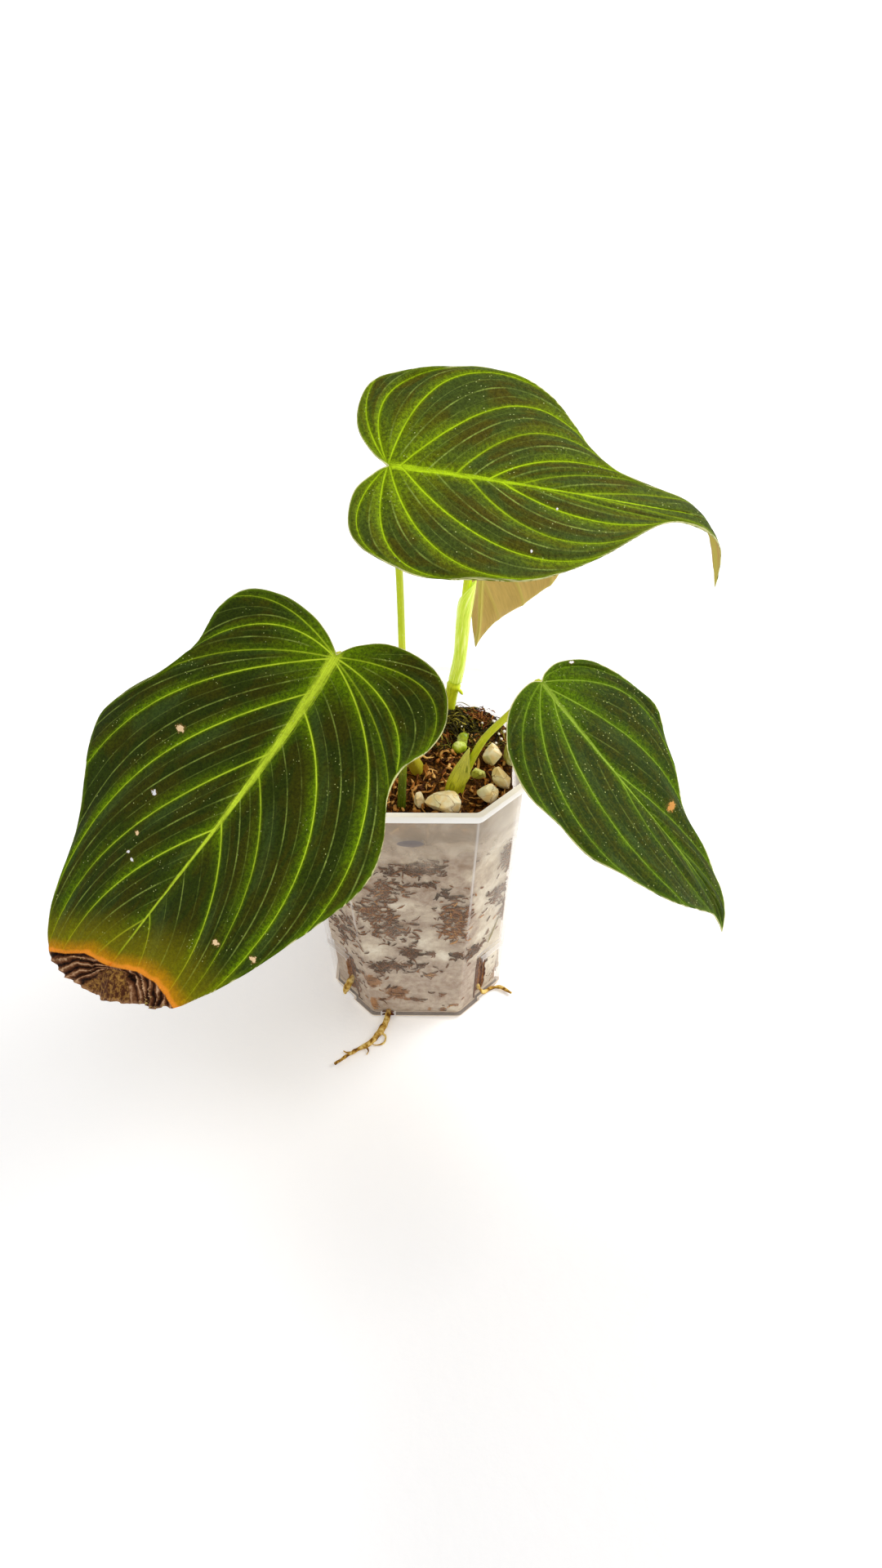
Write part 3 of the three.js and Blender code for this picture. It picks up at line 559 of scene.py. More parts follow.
def margin_curve(points):
    """Points of the margin, and the share of its length at which each lies."""
    knots = np.array(points, float)
    count = len(knots) - 1
    at = np.linspace(0, count, MARGIN_STEPS + 1)
    low = np.minimum(at.astype(int), count - 1)
    t = (at - low)[:, None]
    a, b, c, d = (knots[np.clip(low + k, 0, count)] for k in (-1, 0, 1, 2))
    start, end = (c - a) / 2, (d - b) / 2
    curve = ((2 * b - 2 * c + start + end) * t ** 3 + (-3 * b + 3 * c - 2 * start - end) * t ** 2
             + start * t + b)
    lengths = np.concatenate([[0], np.cumsum(np.linalg.norm(np.diff(curve, axis=0), axis=1))])
    return curve, lengths / lengths[-1]


print("the top leaf's right margin has", len(margin_curve(TOP["right_margin"])[0]), "points")


# %% A grid of points that follows the veins of one half
CROWDING = 1.2       # rows lie closer together beside the midrib


def half_grid(leaf, side, per_vein, row_count):
    """Columns run from the midrib to the margin, per_vein of them from one vein to the next."""
    margin = leaf["right_margin" if side > 0 else "left_margin"]
    tip = margin[-1][0]
    tables = [np.array([[0, 0, 0, 0, 0]] + leaf[key] + [[tip, tip, 0, 1, 0.3]], float)
              for key in ("right_veins", "left_veins")]
    table, other = tables if side > 0 else tables[::-1]
    curve, share_at = margin_curve(margin)
    gaps = len(table) - 1
    step = np.arange(gaps * per_vein + 1) / per_vein
    rib = step - np.sin(4 * np.pi * step) / (8 * np.pi)

    def column(rows, item):
        return np.interp(rib, np.arange(gaps + 1), rows[:, item])[:, None]

    share = column(table, 3)
    end_s = np.interp(share, share_at, curve[:, 0])
    end_r = np.interp(share, share_at, curve[:, 1])
    t = np.linspace(0, 1, row_count + 1)[None, :] ** CROWDING
    start = np.where(t == 0, (column(table, 0) + column(other, 0)) / 2, column(table, 0))
    a, b, c = (1 - t) ** 2, 2 * t * (1 - t), t * t
    s = a * start + b * column(table, 1) + c * end_s
    out = np.maximum(0, side * (b * column(table, 2) + c * end_r))
    rearmost = np.argmin(curve[:, 0])
    single = (np.arange(len(curve)) > rearmost) & (curve[:, 0] < SINGLE_REACH * tip)
    reach = np.interp(s, curve[single][:, 0], side * curve[single][:, 1])
    kept = (t < 1) & (s > 0) & (s < SINGLE_REACH * tip)
    r = side * np.minimum(out, np.where(kept, reach - MARGIN_INSET * (1 - t), np.inf))
    found = {"t": t, "rib": rib[:, None], "share": share, "vigour": column(table, 4)}
    found = {key: np.broadcast_to(values, s.shape) for key, values in found.items()}
    return {"s": s, "r": r, "curve": curve, **found}


print("leaf maths ready")

# %% [markdown]
# The blade itself is two skins, joined at the margin. Between two veins it swells like a quilt.
# Over each vein the upper skin sinks and the lower skin stands out as a rib, thickest at the
# midrib. The points carry the distances that the finish needs.

# %% Lift, thickness and distances
BLADE_THICKNESS = 0.5
VEIN_RELIEF = 0.55                      # height of the swell between two veins
VEIN_GROOVE, VEIN_RIB = 0.2, 0.3        # depth on top, height below
GROOVE_HALF, SECOND_HALF = 0.6, 0.5
SECOND_GROOVE, MIDRIB_GROOVE = 0.08, 0.18
MIDRIB_DEPTH, MIDRIB_HALF, MIDRIB_NARROWING = 1.5, 1.3, 0.8
PUCKER = 0.09


def half_numbers(leaf, track, grid):
    """Heights of both skins over the bent sheet, and the distances for the finish."""
    s, r, t, rib = grid["s"], grid["r"], grid["t"], grid["rib"]
    flat = blade_point(track, s, r, np.zeros_like(s))
    by_rib = np.gradient(flat, axis=0) / np.gradient(rib, axis=0)[..., None]
    by_row = np.gradient(flat, axis=1)
    length = np.maximum(np.linalg.norm(by_row, axis=-1), 1e-6)
    gap = np.linalg.norm(np.cross(by_rib, by_row), axis=-1) / length
    along = np.cumsum(np.concatenate([np.zeros((len(s), 1)), np.linalg.norm(
        np.diff(flat, axis=1), axis=-1)], axis=1), axis=1)
    rim = np.full(s.shape, np.inf)
    for at_s, at_r in grid["curve"][::6]:
        rim = np.minimum(rim, np.hypot(s - at_s, r - at_r))
    across = np.where(s > 0, np.abs(r), np.hypot(s, r))
    off_rib = np.abs(rib - np.round(rib))
    tip = s.max()
    height, count, start = leaf["wave"]
    settle = soft_step(t, 0, 0.08)
    swell = VEIN_RELIEF * np.sin(np.pi * rib) ** 2 * np.sin(np.pi * np.minimum(1, 0.15 + 0.85 * t))
    swell = swell * soft_step(gap, 0, 6)
    wave = height * t * t * np.sin(2 * np.pi * count * grid["share"] + start)
    wave = wave * np.sin(np.pi * grid["share"])
    groove = grid["vigour"] * np.exp(-(off_rib * gap / GROOVE_HALF) ** 2) * soft_step(across, 0, 2)
    second = np.exp(-((0.5 - off_rib) * gap / SECOND_HALF) ** 2) * soft_step(gap, 4, 9) * settle
    pucker = lumps(np.stack([rib * 3, along / 5, 0 * s], -1), 1, 5) * PUCKER * settle
    towards_tip = np.clip(s / tip, 0, 1)
    spine = np.exp(-(across / (MIDRIB_HALF - MIDRIB_NARROWING * towards_tip)) ** 2)
    spine = spine * np.where(s < 0, soft_step(s, -2.5, 0), 1)
    lift = settle * (swell + wave) - VEIN_GROOVE * groove - SECOND_GROOVE * second + pucker
    upper = lift + BLADE_THICKNESS / 2 - MIDRIB_GROOVE * spine
    thick = BLADE_THICKNESS * (0.55 + 0.45 * soft_step(rim, 0, 1.5))
    keel = MIDRIB_DEPTH * (1 - 0.85 * towards_tip) * spine
    lower = lift + BLADE_THICKNESS / 2 - thick - VEIN_RIB * groove - keel
    return {"upper": upper, "lower": lower, "rib": rib, "gap": gap, "along": along, "rim": rim,
            "across": across, "reach": t, "vigour": grid["vigour"], "walk": s, "side": r}


# %% Join two halves into one sheet
# Rib counts veins, and gap is the distance from one to the next. Along is the distance from the
# midrib along a vein, across the distance straight to it, and rim the distance to the margin.
# Reach is the share of the way to the margin, vigour the strength of the vein, and walk and side
# are s and r.
NUMBERS = ("rib", "gap", "along", "rim", "across", "reach", "vigour", "walk", "side")


def leaf_sheet(leaf, per_vein, row_count):
    """Upper and lower skins as matching lists of points, with faces of the upper skin."""
    track = follow_course(leaf)
    halves = []
    faces = []
    offset = 0
    for side in (1, -1):
        grid = half_grid(leaf, side, per_vein, row_count)
        found = half_numbers(leaf, track, grid)
        halves.append({key: found[key].ravel() for key in ("upper", "lower", *NUMBERS)})
        columns, rows = grid["s"].shape
        index = offset + np.arange(columns * rows).reshape(columns, rows)
        quads = np.stack([index[:-1, :-1], index[:-1, 1:], index[1:, 1:], index[1:, :-1]], -1)
        quads = quads.reshape(-1, 4)
        faces.append(quads if side > 0 else quads[:, ::-1])
        offset += columns * rows
    sheet = {key: np.concatenate([half[key] for half in halves]) for key in halves[0]}
    spots = np.round(np.stack([sheet["walk"], sheet["side"]], -1), 3) + 0.0
    _, first, same = np.unique(spots, axis=0, return_index=True, return_inverse=True)
    sheet = {key: values[first] for key, values in sheet.items()}
    faces = same.ravel()[np.concatenate(faces)]
    kept = [list(dict.fromkeys(face)) for face in faces.tolist()]
    sheet["faces"] = [face for face in kept if len(face) > 2]
    s, r = sheet["walk"], sheet["side"]
    sheet["top"] = blade_point(track, s, r, sheet["upper"])
    sheet["bottom"] = blade_point(track, s, r, sheet["lower"])
    return sheet


def close_sheet(top, bottom, faces):
    """Points and faces of a closed body between two skins, with a wall along every open edge."""
    used, index = np.unique([i for face in faces for i in face], return_inverse=True)
    renamed = iter(index.tolist())
    upper = [[next(renamed) for _ in face] for face in faces]
    count = len(used)
    edges = {(face[k - 1], face[k]) for face in upper for k in range(len(face))}
    walls = [(b, a, a + count, b + count) for a, b in sorted(edges) if (b, a) not in edges]
    lower = [[i + count for i in reversed(face)] for face in upper]
    return np.concatenate([top[used], bottom[used]]), upper, lower, walls, used


# %% [markdown]
# ## The finish of a blade
#
# The upper skin is dark velvet: nearly black green with warm brown patches between the veins,
# fresh green beside them, and yellow-green veins that fade as they run out. Pale specks on the fine
# hairs are partly dust and partly painted glints. On one side of each vein painted light brightens
# the green, and on the other side lies a painted sheen. The lower skin is a dull golden beige. The
# colours could be painted on an image, but the stored distances do it here at any size: a line is
# a small distance.

# %% A velvet finish knows the distances that the points carry
# Pale specks: partly dust and partly painted glints on the hairs
DUST_AND_GLINT = paint(196, 204, 130)
PALE_EDGE = paint(214, 212, 150)
# A painted sheen, laid on the side of each vein that faces away from the light
PAINTED_SHEEN = paint(58, 76, 32)
THIN_LINE = paint(128, 146, 62)
SPOT_RING = paint(120, 96, 40)


class Velvet(Finish):
    """The finish of an upper skin, with its distances, hair-fine streaks and dust as signals."""

    def __init__(self, name):
        super().__init__(name, roughness=0.55, specular_ior_level=0.05)
        for key in NUMBERS:
            setattr(self, key, self.drawn(key))
        self.off_rib = self.math("PINGPONG", self.rib, 0.5)
        self.from_vein = self.off_rib * self.gap
        self.streaks = self.grain(1.0, self.point(self.rib * 40, self.along * 0.16, 0), detail=2)
        self.dust = self.rise(self.grain(0.9, detail=2, rough=0.8), 0.28, 0.72)
        self.uneven = self.grain(8, detail=2)


# %% Between the veins
def between_veins(cloth, deep, warm, fresh, lit, blotch, spine_half):
    """Slow clouds, a painted sheen on the shaded side of each space, painted light on the lit side of each
    vein, and fresh green beside veins and midrib.
    """
    rib, along, walk, side = cloth.rib, cloth.along, cloth.walk, cloth.side
    clouds = cloth.grain(1.0, cloth.point(rib * 2.3, along * 0.09, side * 0.012), detail=4, twist=0.5)
    clouds = clouds * (1 - blotch) + cloth.grain(3.6, detail=5, rough=0.75) * blotch
    lengthwise = cloth.grain(1.0, cloth.point(rib * 1.4, along * 0.045, 0), detail=3, twist=0.4)
    lit_side = cloth.blend(cloth.rise(side, -0.1, 0.1), lit[1], lit[0], "FLOAT")
    beside = (cloth.math("FRACT", rib + 0.5) - 0.5) * lit_side

    ground = cloth.blend(cloth.rise(clouds, 0.42, 0.6), deep, warm)
    # Painted sheen: a dull blue-green on the shaded side of each space between veins
    painted_sheen_side = cloth.rise(beside, 0.02, 0.1) * cloth.rise(beside, 0.42, 0.2)
    ground = cloth.blend(painted_sheen_side * cloth.rise(lengthwise, 0.42, 0.66) * 0.6, ground, PAINTED_SHEEN)
    # Painted light: the halo is wider and brighter on the lit side of each vein; its 0.08 base is the leaf's
    # own halo
    painted_glow = cloth.rise(beside, 0.06, -0.04)
    halo_with_painted_light = 0.08 + 0.5 * painted_glow * cloth.rise(lengthwise, 0.3, 0.65)
    broad = cloth.rise(cloth.from_vein, 4.6, 0.2) * cloth.vigour * halo_with_painted_light
    near = cloth.rise(cloth.from_vein, 1.1, 0.1) * cloth.vigour * 0.5
    spine_glow = cloth.rise(cloth.across, 2.6 * spine_half, 0.3) * cloth.rise(walk, 125, 10) * 0.6
    from_sinus = cloth.math("SQRT", walk * walk + side * side)
    heart_glow = cloth.rise(from_sinus, 26, 0) * 0.7
    halo = cloth.math("MINIMUM", broad + near + spine_glow + heart_glow, 0.95)
    return cloth.blend(halo * (0.7 + 0.6 * cloth.dust), ground, fresh)


def thin_lines(cloth, ground, strength):
    """Thin pale lines half-way and a quarter of the way between two veins."""
    gap = cloth.gap
    second = cloth.rise((0.5 - cloth.off_rib) * gap, 0.34, 0.05) * cloth.rise(gap, 3, 7) * 0.8
    third = cloth.rise(abs(cloth.off_rib - 0.25) * gap, 0.24, 0.02) * cloth.rise(gap, 6, 11) * 0.35
    broken = 0.35 + 0.9 * cloth.rise(cloth.uneven, 0.36, 0.6)
    return cloth.blend((second + third) * strength * broken * (1 - 0.3 * cloth.reach), ground, THIN_LINE)


# %% The midrib and the marks
def midrib(cloth, ground, vein, spine_half, fade_at):
    """A soft fibrous band that narrows towards the tip."""
    fibres = cloth.grain(1.0, cloth.point(cloth.walk * 0.14, cloth.side * 2.2, 0), detail=3)
    thinning = cloth.rise(cloth.walk, -10, fade_at)
    band = cloth.across / (spine_half * (1 - 0.82 * thinning)) + (fibres - 0.5) * 1.3
    lasting = 1 - 0.25 * cloth.rise(cloth.walk, 45, 118)
    lime = cloth.blend(cloth.rise(fibres, 0.4, 0.62), vein, cloth.shade(vein, 0.8))
    return cloth.blend(cloth.rise(band, 1.35, 0.2) * lasting * (0.8 + 0.4 * cloth.dust), ground, lime)


def marks(cloth, ground, fresh, dust_glint_level, spots):
    """Specks that are partly dust and partly painted glints on the hairs, the pale edge, and the spots of
    this one leaf: [s, r, size, colour].
    """
    # Painted glints: pale specks that the fine hairs catch, mixed with real dust
    specks = cloth.rise(cloth.cells(1.3), 0.17, 0.08) * cloth.rise(cloth.grain(7), dust_glint_level, dust_glint_level + 0.1)
    ground = cloth.blend(specks * 0.8, ground, DUST_AND_GLINT)
    ground = cloth.blend(cloth.rise(cloth.rim, 1.6, 0.3) * 0.5, ground, fresh)
    ground = cloth.blend(cloth.rise(cloth.rim, 0.42, 0.16), ground, PALE_EDGE)
    for at_s, at_r, size, colour in spots:
        ds, dr = cloth.walk - at_s, cloth.side - at_r
        away = cloth.math("SQRT", ds * ds + dr * dr * 0.5) / size + (cloth.grain(0.9) - 0.5) * 2.4
        ground = cloth.blend(cloth.rise(away, 1.2, 0.9) * 0.6, ground, SPOT_RING)
        ground = cloth.blend(cloth.rise(away, 0.85, 0.65), ground, colour)
    return ground


# %% The dead end of the left leaf: green, gold, orange, then brown in pleats
PIVOT_ASIDE, PIVOT_BEHIND = 2.8, 1.5
FAN_TURNS, PLEAT_STEP, PLEAT_LEAN = 4.6, 3.8, 1.1


def pleat_place(dead, side):
    """Where something lies from the pivot that the pleats fan out from: numbers or signals."""
    away, beyond = side + PIVOT_ASIDE, dead + PIVOT_BEHIND
    return away, beyond, -1 * away - PLEAT_LEAN * beyond


def husk(cloth, dead):
    """Brown pleats that fan out from one point and lie side by side beyond it, as in the mesh. Their crests
    are painted pale and their grooves dark: painted highlight and painted shade.
    """
    away, beyond, leaning = pleat_place(dead, cloth.side)
    round_pivot = cloth.math("ARCTAN2", beyond, away) * FAN_TURNS
    fanned = cloth.blend(cloth.rise(leaning, -0.01, 0.01), round_pivot, leaning / PLEAT_STEP, "FLOAT")
    fanned = fanned + (cloth.grain(6, detail=3) - 0.5) * 1.3
    pleat = 1 - 2 * cloth.math("PINGPONG", fanned, 0.5)
    fine = cloth.grain(1.3, detail=5, rough=0.7)
    middle = cloth.drawn("patch")
    # Painted highlight and shade: the ramp turns pleat crests pale and the grooves between them dark
    painted_pleat_light = cloth.blend(middle, pleat * (0.7 + 0.6 * cloth.grain(5)), 0.5, "FLOAT")
    brown = cloth.ramp(painted_pleat_light * 0.85 + (fine - 0.5) * 0.8, (0.06, paint(24, 10, 6)), (0.4, paint(84, 46, 24)),
                       (0.66, paint(134, 90, 58)), (0.86, paint(204, 164, 126)))
    brown = cloth.blend(middle * cloth.rise(fine, 0.44, 0.64) * 0.8, brown, paint(176, 132, 60))
    lip = cloth.rise(cloth.rim, 1.1, 0.5) * cloth.rise(fine, 0.36, 0.56)
    return cloth.blend(lip * 0.6, brown, paint(172, 128, 92))


def dried(cloth, ground, primary):
    dead = cloth.drawn("dry")
    ragged = dead + (cloth.grain(4.0, detail=3) - 0.5) * 2.0
    for low, high, share, colour in (
            (-22, -4, 0.62, paint(140, 130, 2)), (-7, -1, 0.74, paint(218, 142, 12))):
        yellowed = cloth.shade(colour, 0.8 + 0.32 * cloth.dust)
        ground = cloth.blend(cloth.rise(ragged, low, high) * share, ground, yellowed)
    ground = cloth.blend(primary * cloth.rise(ragged, -24, -7) * 0.6, ground, paint(204, 186, 36))
    ground = cloth.blend(cloth.rise(ragged, -2.2, -0.9), ground, paint(246, 152, 44))
    return cloth.blend(cloth.rise(dead, -0.4, 0.1), ground, husk(cloth, dead))


# %% The whole upper skin
def blade_finish(name, deep, warm, fresh, vein, core=0.2, spine_half=1.2, fade_at=60, lit=(1, 1),
                 spots=(), dry=False, fading=0.35, blotch=0.0, lines=1.0, dust_glint_level=0.52):
    """Core is a side vein's half width, and fading how much of it is lost towards the margin. The
    midrib narrows until fade_at. Lit is the side of the veins that gets painted light, on the right
    half and on the left half. Blotch is the share of clouds that don't follow the veins, lines the
    strength of the thin lines, and the lower the last argument is, the more specks lie on the leaf,
    partly dust and partly painted glints."""
    cloth = Velvet(name)
    ground = between_veins(cloth, deep, warm, fresh, lit, blotch, spine_half)
    ground = thin_lines(cloth, ground, lines)
    ground = cloth.shade(ground, 0.5 + 0.4 * cloth.streaks + 0.6 * cloth.dust)
    width = core * (1.5 - 0.8 * cloth.reach)
    primary = cloth.rise(cloth.from_vein / width, 1.8, 0.3) * cloth.vigour * (1 - fading * cloth.reach)
    patchy = 0.66 + 0.34 * cloth.rise(cloth.uneven, 0.3, 0.6)
    ground = cloth.blend(primary * patchy, ground, vein)
    ground = midrib(cloth, ground, vein, spine_half, fade_at)
    ground = marks(cloth, ground, fresh, dust_glint_level, spots)
    if dry:
        ground = dried(cloth, ground, primary)
    cloth.set(base_color=ground)
    cloth.bump(cloth.streaks * 0.4 + cloth.dust * 0.6 - primary * 0.8, 0.16)
    return cloth


# %% The lower skin
def under_finish(name, ground_colour, rib_colour):
    skin = Finish(name, roughness=0.7, specular_ior_level=0.12)
    rib, gap, along = (skin.drawn(key) for key in ("rib", "gap", "along"))
    streaks = skin.grain(1.0, skin.point(rib * 14, along * 0.12, 0), detail=3)
    ground = skin.shade(ground_colour, 0.72 + 0.5 * streaks)
    line = skin.rise(skin.math("PINGPONG", rib, 0.5) * gap, 0.9, 0.2) * skin.drawn("vigour")
    ground = skin.blend(line * 0.8, ground, rib_colour)
    ground = skin.blend(skin.rise(skin.drawn("across"), 1.6, 0.7), ground, rib_colour)
    ground = skin.blend(skin.rise(skin.drawn("rim"), 1.2, 0.2) * 0.5, ground, rib_colour)
    skin.set(base_color=ground)
    skin.bump(streaks, 0.1)
    return skin


beige = under_finish("leaf_underside", paint(208, 178, 102), paint(208, 194, 98))
print("underside:", len(beige.tree.nodes), "nodes")

# %% The finishes of the four leaves
LIME = paint(176, 208, 24)
TAN_SPOT = paint(240, 206, 160)
WHITE_SPOT = paint(236, 236, 240)
BROWN_SPOT = paint(196, 138, 70)

LEAF_FINISHES = {
    "top": blade_finish(
        "velvet_top", paint(60, 72, 22), paint(70, 66, 12), paint(108, 130, 4), LIME, core=0.16,
        fading=0.5, spots=[(40.7, 20.2, 0.36, WHITE_SPOT), (46.4, 6.1, 0.36, WHITE_SPOT)]),
    "left": blade_finish(
        "velvet_left", paint(42, 54, 6), paint(54, 56, 4), paint(96, 126, 0), paint(206, 232, 56),
        core=0.155, spine_half=2.2, fade_at=100, lit=(1, -1), dry=True, fading=0.6,
        spots=[(46.3, 29.5, 1.3, TAN_SPOT), (68.1, 24.1, 0.9, WHITE_SPOT),
               (81.5, 20.6, 0.7, TAN_SPOT), (87.6, 18.9, 0.6, WHITE_SPOT),
               (88.6, 16.1, 0.6, WHITE_SPOT), (85.8, -25.8, 0.9, TAN_SPOT),
               (81.8, -37.8, 0.9, TAN_SPOT)]),
    "right": blade_finish(
        "velvet_right", paint(40, 54, 8), paint(54, 58, 4), paint(84, 114, 4), paint(142, 170, 54),
        core=0.145, spine_half=1.0, fading=0.6, blotch=0.8, lines=0.35, dust_glint_level=0.44,
        spots=[(58.7, -8.8, 1.6, BROWN_SPOT), (-0.8, -12.5, 0.7, WHITE_SPOT)]),
    "rear": blade_finish(
        "velvet_rear", paint(48, 62, 16), paint(62, 60, 8), paint(92, 120, 6), LIME),
}
print("the left leaf's finish:", len(LEAF_FINISHES["left"].tree.nodes), "nodes")


# %% Three whole leaves
def leaf_piece(name, sheet, faces, finish, stands_for, more=()):
    """A blade from its two skins, whose points carry the NUMBERS and more."""
    points, upper, lower, walls, used = close_sheet(sheet["top"], sheet["bottom"], faces)
    numbers = {key: np.tile(sheet[key][used], 2) for key in (*NUMBERS, *more)}
    piece = make_piece(name, (points, upper + walls + lower, numbers), [finish, beige], stands_for)
    under = np.zeros(len(piece.data.polygons), dtype=np.int32)
    under[len(upper) + len(walls):] = 1
    piece.data.polygons.foreach_set("material_index", under)


for key, leaf, detail in (("top", TOP, (22, 56)), ("right", RIGHT, (24, 52)), ("rear", REAR, (12, 36))):
    sheet = leaf_sheet(leaf, *detail)
    leaf_piece(f"blade_{key}", sheet, sheet["faces"], LEAF_FINISHES[key], [f"leaf_{key}"])

# %% The left leaf and its crumpled end
DRY_LINE = np.array([[-36, 107], [-18, 107], [-10, 110], [0, 117], [10, 121], [16, 127], [30, 138]])


def dry_distance(sheet):
    """Millimetres beyond the line where the left leaf is dead, below 0 in the green part."""
    return sheet["walk"] - np.interp(sheet["side"], DRY_LINE[:, 0], DRY_LINE[:, 1])


sheet = leaf_sheet(LEFT, 22, 56)
track = follow_course(LEFT)
dry = dry_distance(sheet)
flat = np.stack([sheet["walk"], sheet["side"], 0 * dry], -1)
crumple = soft_step(dry, 0.2, 2.5)
away, beyond, leaning = pleat_place(dry, sheet["side"])
turned = np.arctan2(beyond, away)
fanned = np.where(leaning < 0, turned * FAN_TURNS, leaning / PLEAT_STEP)
pleat = 1 - np.abs(2 * (fanned - np.floor(fanned + 0.5)))
patch = soft_step(turned, 0.95, 1.15) * soft_step(leaning, 0.5, -1.5) * soft_step(dry, 0.5, 2)
pleat = pleat * (1 - patch) + 0.5 * patch
crease = 1.5 * pleat ** 1.5 + 0.4 * lumps(flat, 1.6, 10) - 0.6
slump = 1.4 * lumps(flat, 8, 9) - 1.2 * soft_step(dry, 2, 14)
torn = crumple * (0.7 + 0.5 * lumps(flat, 2.2, 13) + 1.1 * lumps(flat, 6, 14))
for skin, lift in (("top", "upper"), ("bottom", "lower")):
    height = sheet[lift] + crumple * (crease + slump)
    sheet[skin] = blade_point(track, sheet["walk"] - torn, sheet["side"] * (1 - 0.03 * crumple), height)
sheet["dry"], sheet["patch"] = dry, patch
is_dead = [np.mean(dry[face]) > 0 for face in sheet["faces"]]
green_faces = [face for face, dead in zip(sheet["faces"], is_dead) if not dead]
dead_faces = [face for face, dead in zip(sheet["faces"], is_dead) if dead]
leaf_piece("blade_left", sheet, green_faces, LEAF_FINISHES["left"], ["leaf_left"],
           ("dry", "patch"))
leaf_piece("blade_left_dry_tip", sheet, dead_faces, LEAF_FINISHES["left"],
           ["leaf_left_dry_tip"], ("dry", "patch"))

# %% [markdown]
# ## Stalks
#
# A stalk is a slightly uneven tube that tapers upward and runs into the midrib's keel. A bevelled
# curve would give a plain pipe, so the tube is drawn ring by ring: fine ribs run along it, and
# each ring knows its height and its angle for the colours.

# %% A smooth path, and two directions across it
def smooth_path(stops, count):
    """Points at even steps along a smooth curve through the stops."""
    knots = np.array(stops, float)
    spans = np.linalg.norm(np.diff(knots, axis=0), axis=1) ** 0.5
    at = np.concatenate([[0], np.cumsum(spans)])
    slopes = np.gradient(knots, at, axis=0)
    fine = np.linspace(0, at[-1], 40 * len(knots))
    low = np.clip(np.searchsorted(at, fine, side="right") - 1, 0, len(spans) - 1)
    width = (at[low + 1] - at[low])[:, None]
    t = ((fine - at[low])[:, None]) / width
    curve = ((2 * t ** 3 - 3 * t ** 2 + 1) * knots[low] + (t ** 3 - 2 * t ** 2 + t) * width * slopes[low]
             + (3 * t ** 2 - 2 * t ** 3) * knots[low + 1] + (t ** 3 - t ** 2) * width * slopes[low + 1])
    lengths = np.concatenate([[0], np.cumsum(np.linalg.norm(np.diff(curve, axis=0), axis=1))])
    steps = np.linspace(0, lengths[-1], count)
    return np.stack([np.interp(steps, lengths, curve[:, k]) for k in range(3)], -1)


def frames_along(path):
    """Two directions across the path at each point, turned as little as possible."""
    tangents = np.gradient(path, axis=0)
    tangents /= np.linalg.norm(tangents, axis=1)[:, None]
    side = np.array([1.0, 0.0, 0.0])
    sides = []
    for tangent in tangents:
        side = side - tangent * (side @ tangent)
        side = side / np.linalg.norm(side)
        sides.append(side)
    return np.array(sides), np.cross(tangents, sides)


# %% A tube along a path
def skin_faces(rows, count):
    """Faces of a closed skin over rows of rings. Its two end points come after the rings."""
    faces = []
    for row in range(rows - 1):
        for i in range(count):
            n = (i + 1) % count
            faces.append((row * count + i, row * count + n, (row + 1) * count + n, (row + 1) * count + i))
    last = (rows - 1) * count
    for i in range(count):
        n = (i + 1) % count
        faces.append((rows * count, n, i))
        faces.append((rows * count + 1, last + i, last + n))
    return faces


def tube(stops, radii, rings=60, sides=20, ribs=0, rib_depth=0.0, rough=0.0, flat=1.0, seed=1):
    """Closed tube. Radii are rows [share of the length, radius]."""
    path = smooth_path(stops, rings)
    across, upright = frames_along(path)
    share = np.linspace(0, 1, rings)
    rows = np.array(radii, float)
    angle = np.linspace(0, 2 * np.pi, sides, endpoint=False)
    radius = np.interp(share, rows[:, 0], rows[:, 1])[:, None] * np.ones(sides)
    radius = radius + rib_depth * np.cos(ribs * angle)[None, :]
    ring = (across[:, None] * np.cos(angle)[None, :, None]
            + upright[:, None] * np.sin(angle)[None, :, None] * flat)
    points = path[:, None] + ring * radius[..., None]
    if rough:
        points = points + ring * (rough * lumps(points, 1.6, seed))[..., None]
    points = np.concatenate([points.reshape(-1, 3), path[:1], path[-1:]])
    shares = np.concatenate([np.repeat(share, sides), [0, 1]])
    rounds = np.concatenate([np.tile(angle / (2 * np.pi), rings), [0, 0]])
    return points, skin_faces(rings, sides), {"up": shares, "round": rounds}


def joined(parts):
    """Several bodies as one."""
    points, faces = [], []
    numbers = {key: [] for key in parts[0][2]}
    offset = 0
    for part_points, part_faces, part_numbers in parts:
        points.append(part_points)
        faces.extend([tuple(i + offset for i in face) for face in part_faces])
        offset += len(part_points)
        for key in numbers:
            numbers[key].append(part_numbers[key])
    return np.concatenate(points), faces, {key: np.concatenate(v) for key, v in numbers.items()}


# %% The finish of a stalk
def stalk_finish(name, low, high, stripe, stripes=9, turn=(0.0, 0.2), bold=0.5):
    """Low is the colour at the foot, and high the colour above the turn. Stripes run lengthwise."""
    skin = Finish(name, roughness=0.42, specular_ior_level=0.3)
    up, around = skin.drawn("up"), skin.drawn("round")
    base = skin.blend(skin.rise(up, *turn), low, high)
    lines = skin.grain(1.0, skin.point(skin.math("SINE", around * 6.2832) * stripes, up * 5, 0), detail=2)
    base = skin.blend(skin.rise(lines, 0.45, 0.72) * bold, base, stripe)
    flecks = skin.rise(skin.cells(0.9, skin.place((1, 1, 0.4))), 0.22, 0.1)
    base = skin.blend(flecks * 0.35, base, paint(224, 232, 140))
    skin.set(base_color=skin.shade(base, 0.86 + 0.28 * skin.grain(2.0)))
    skin.bump(lines, 0.12)
    return skin


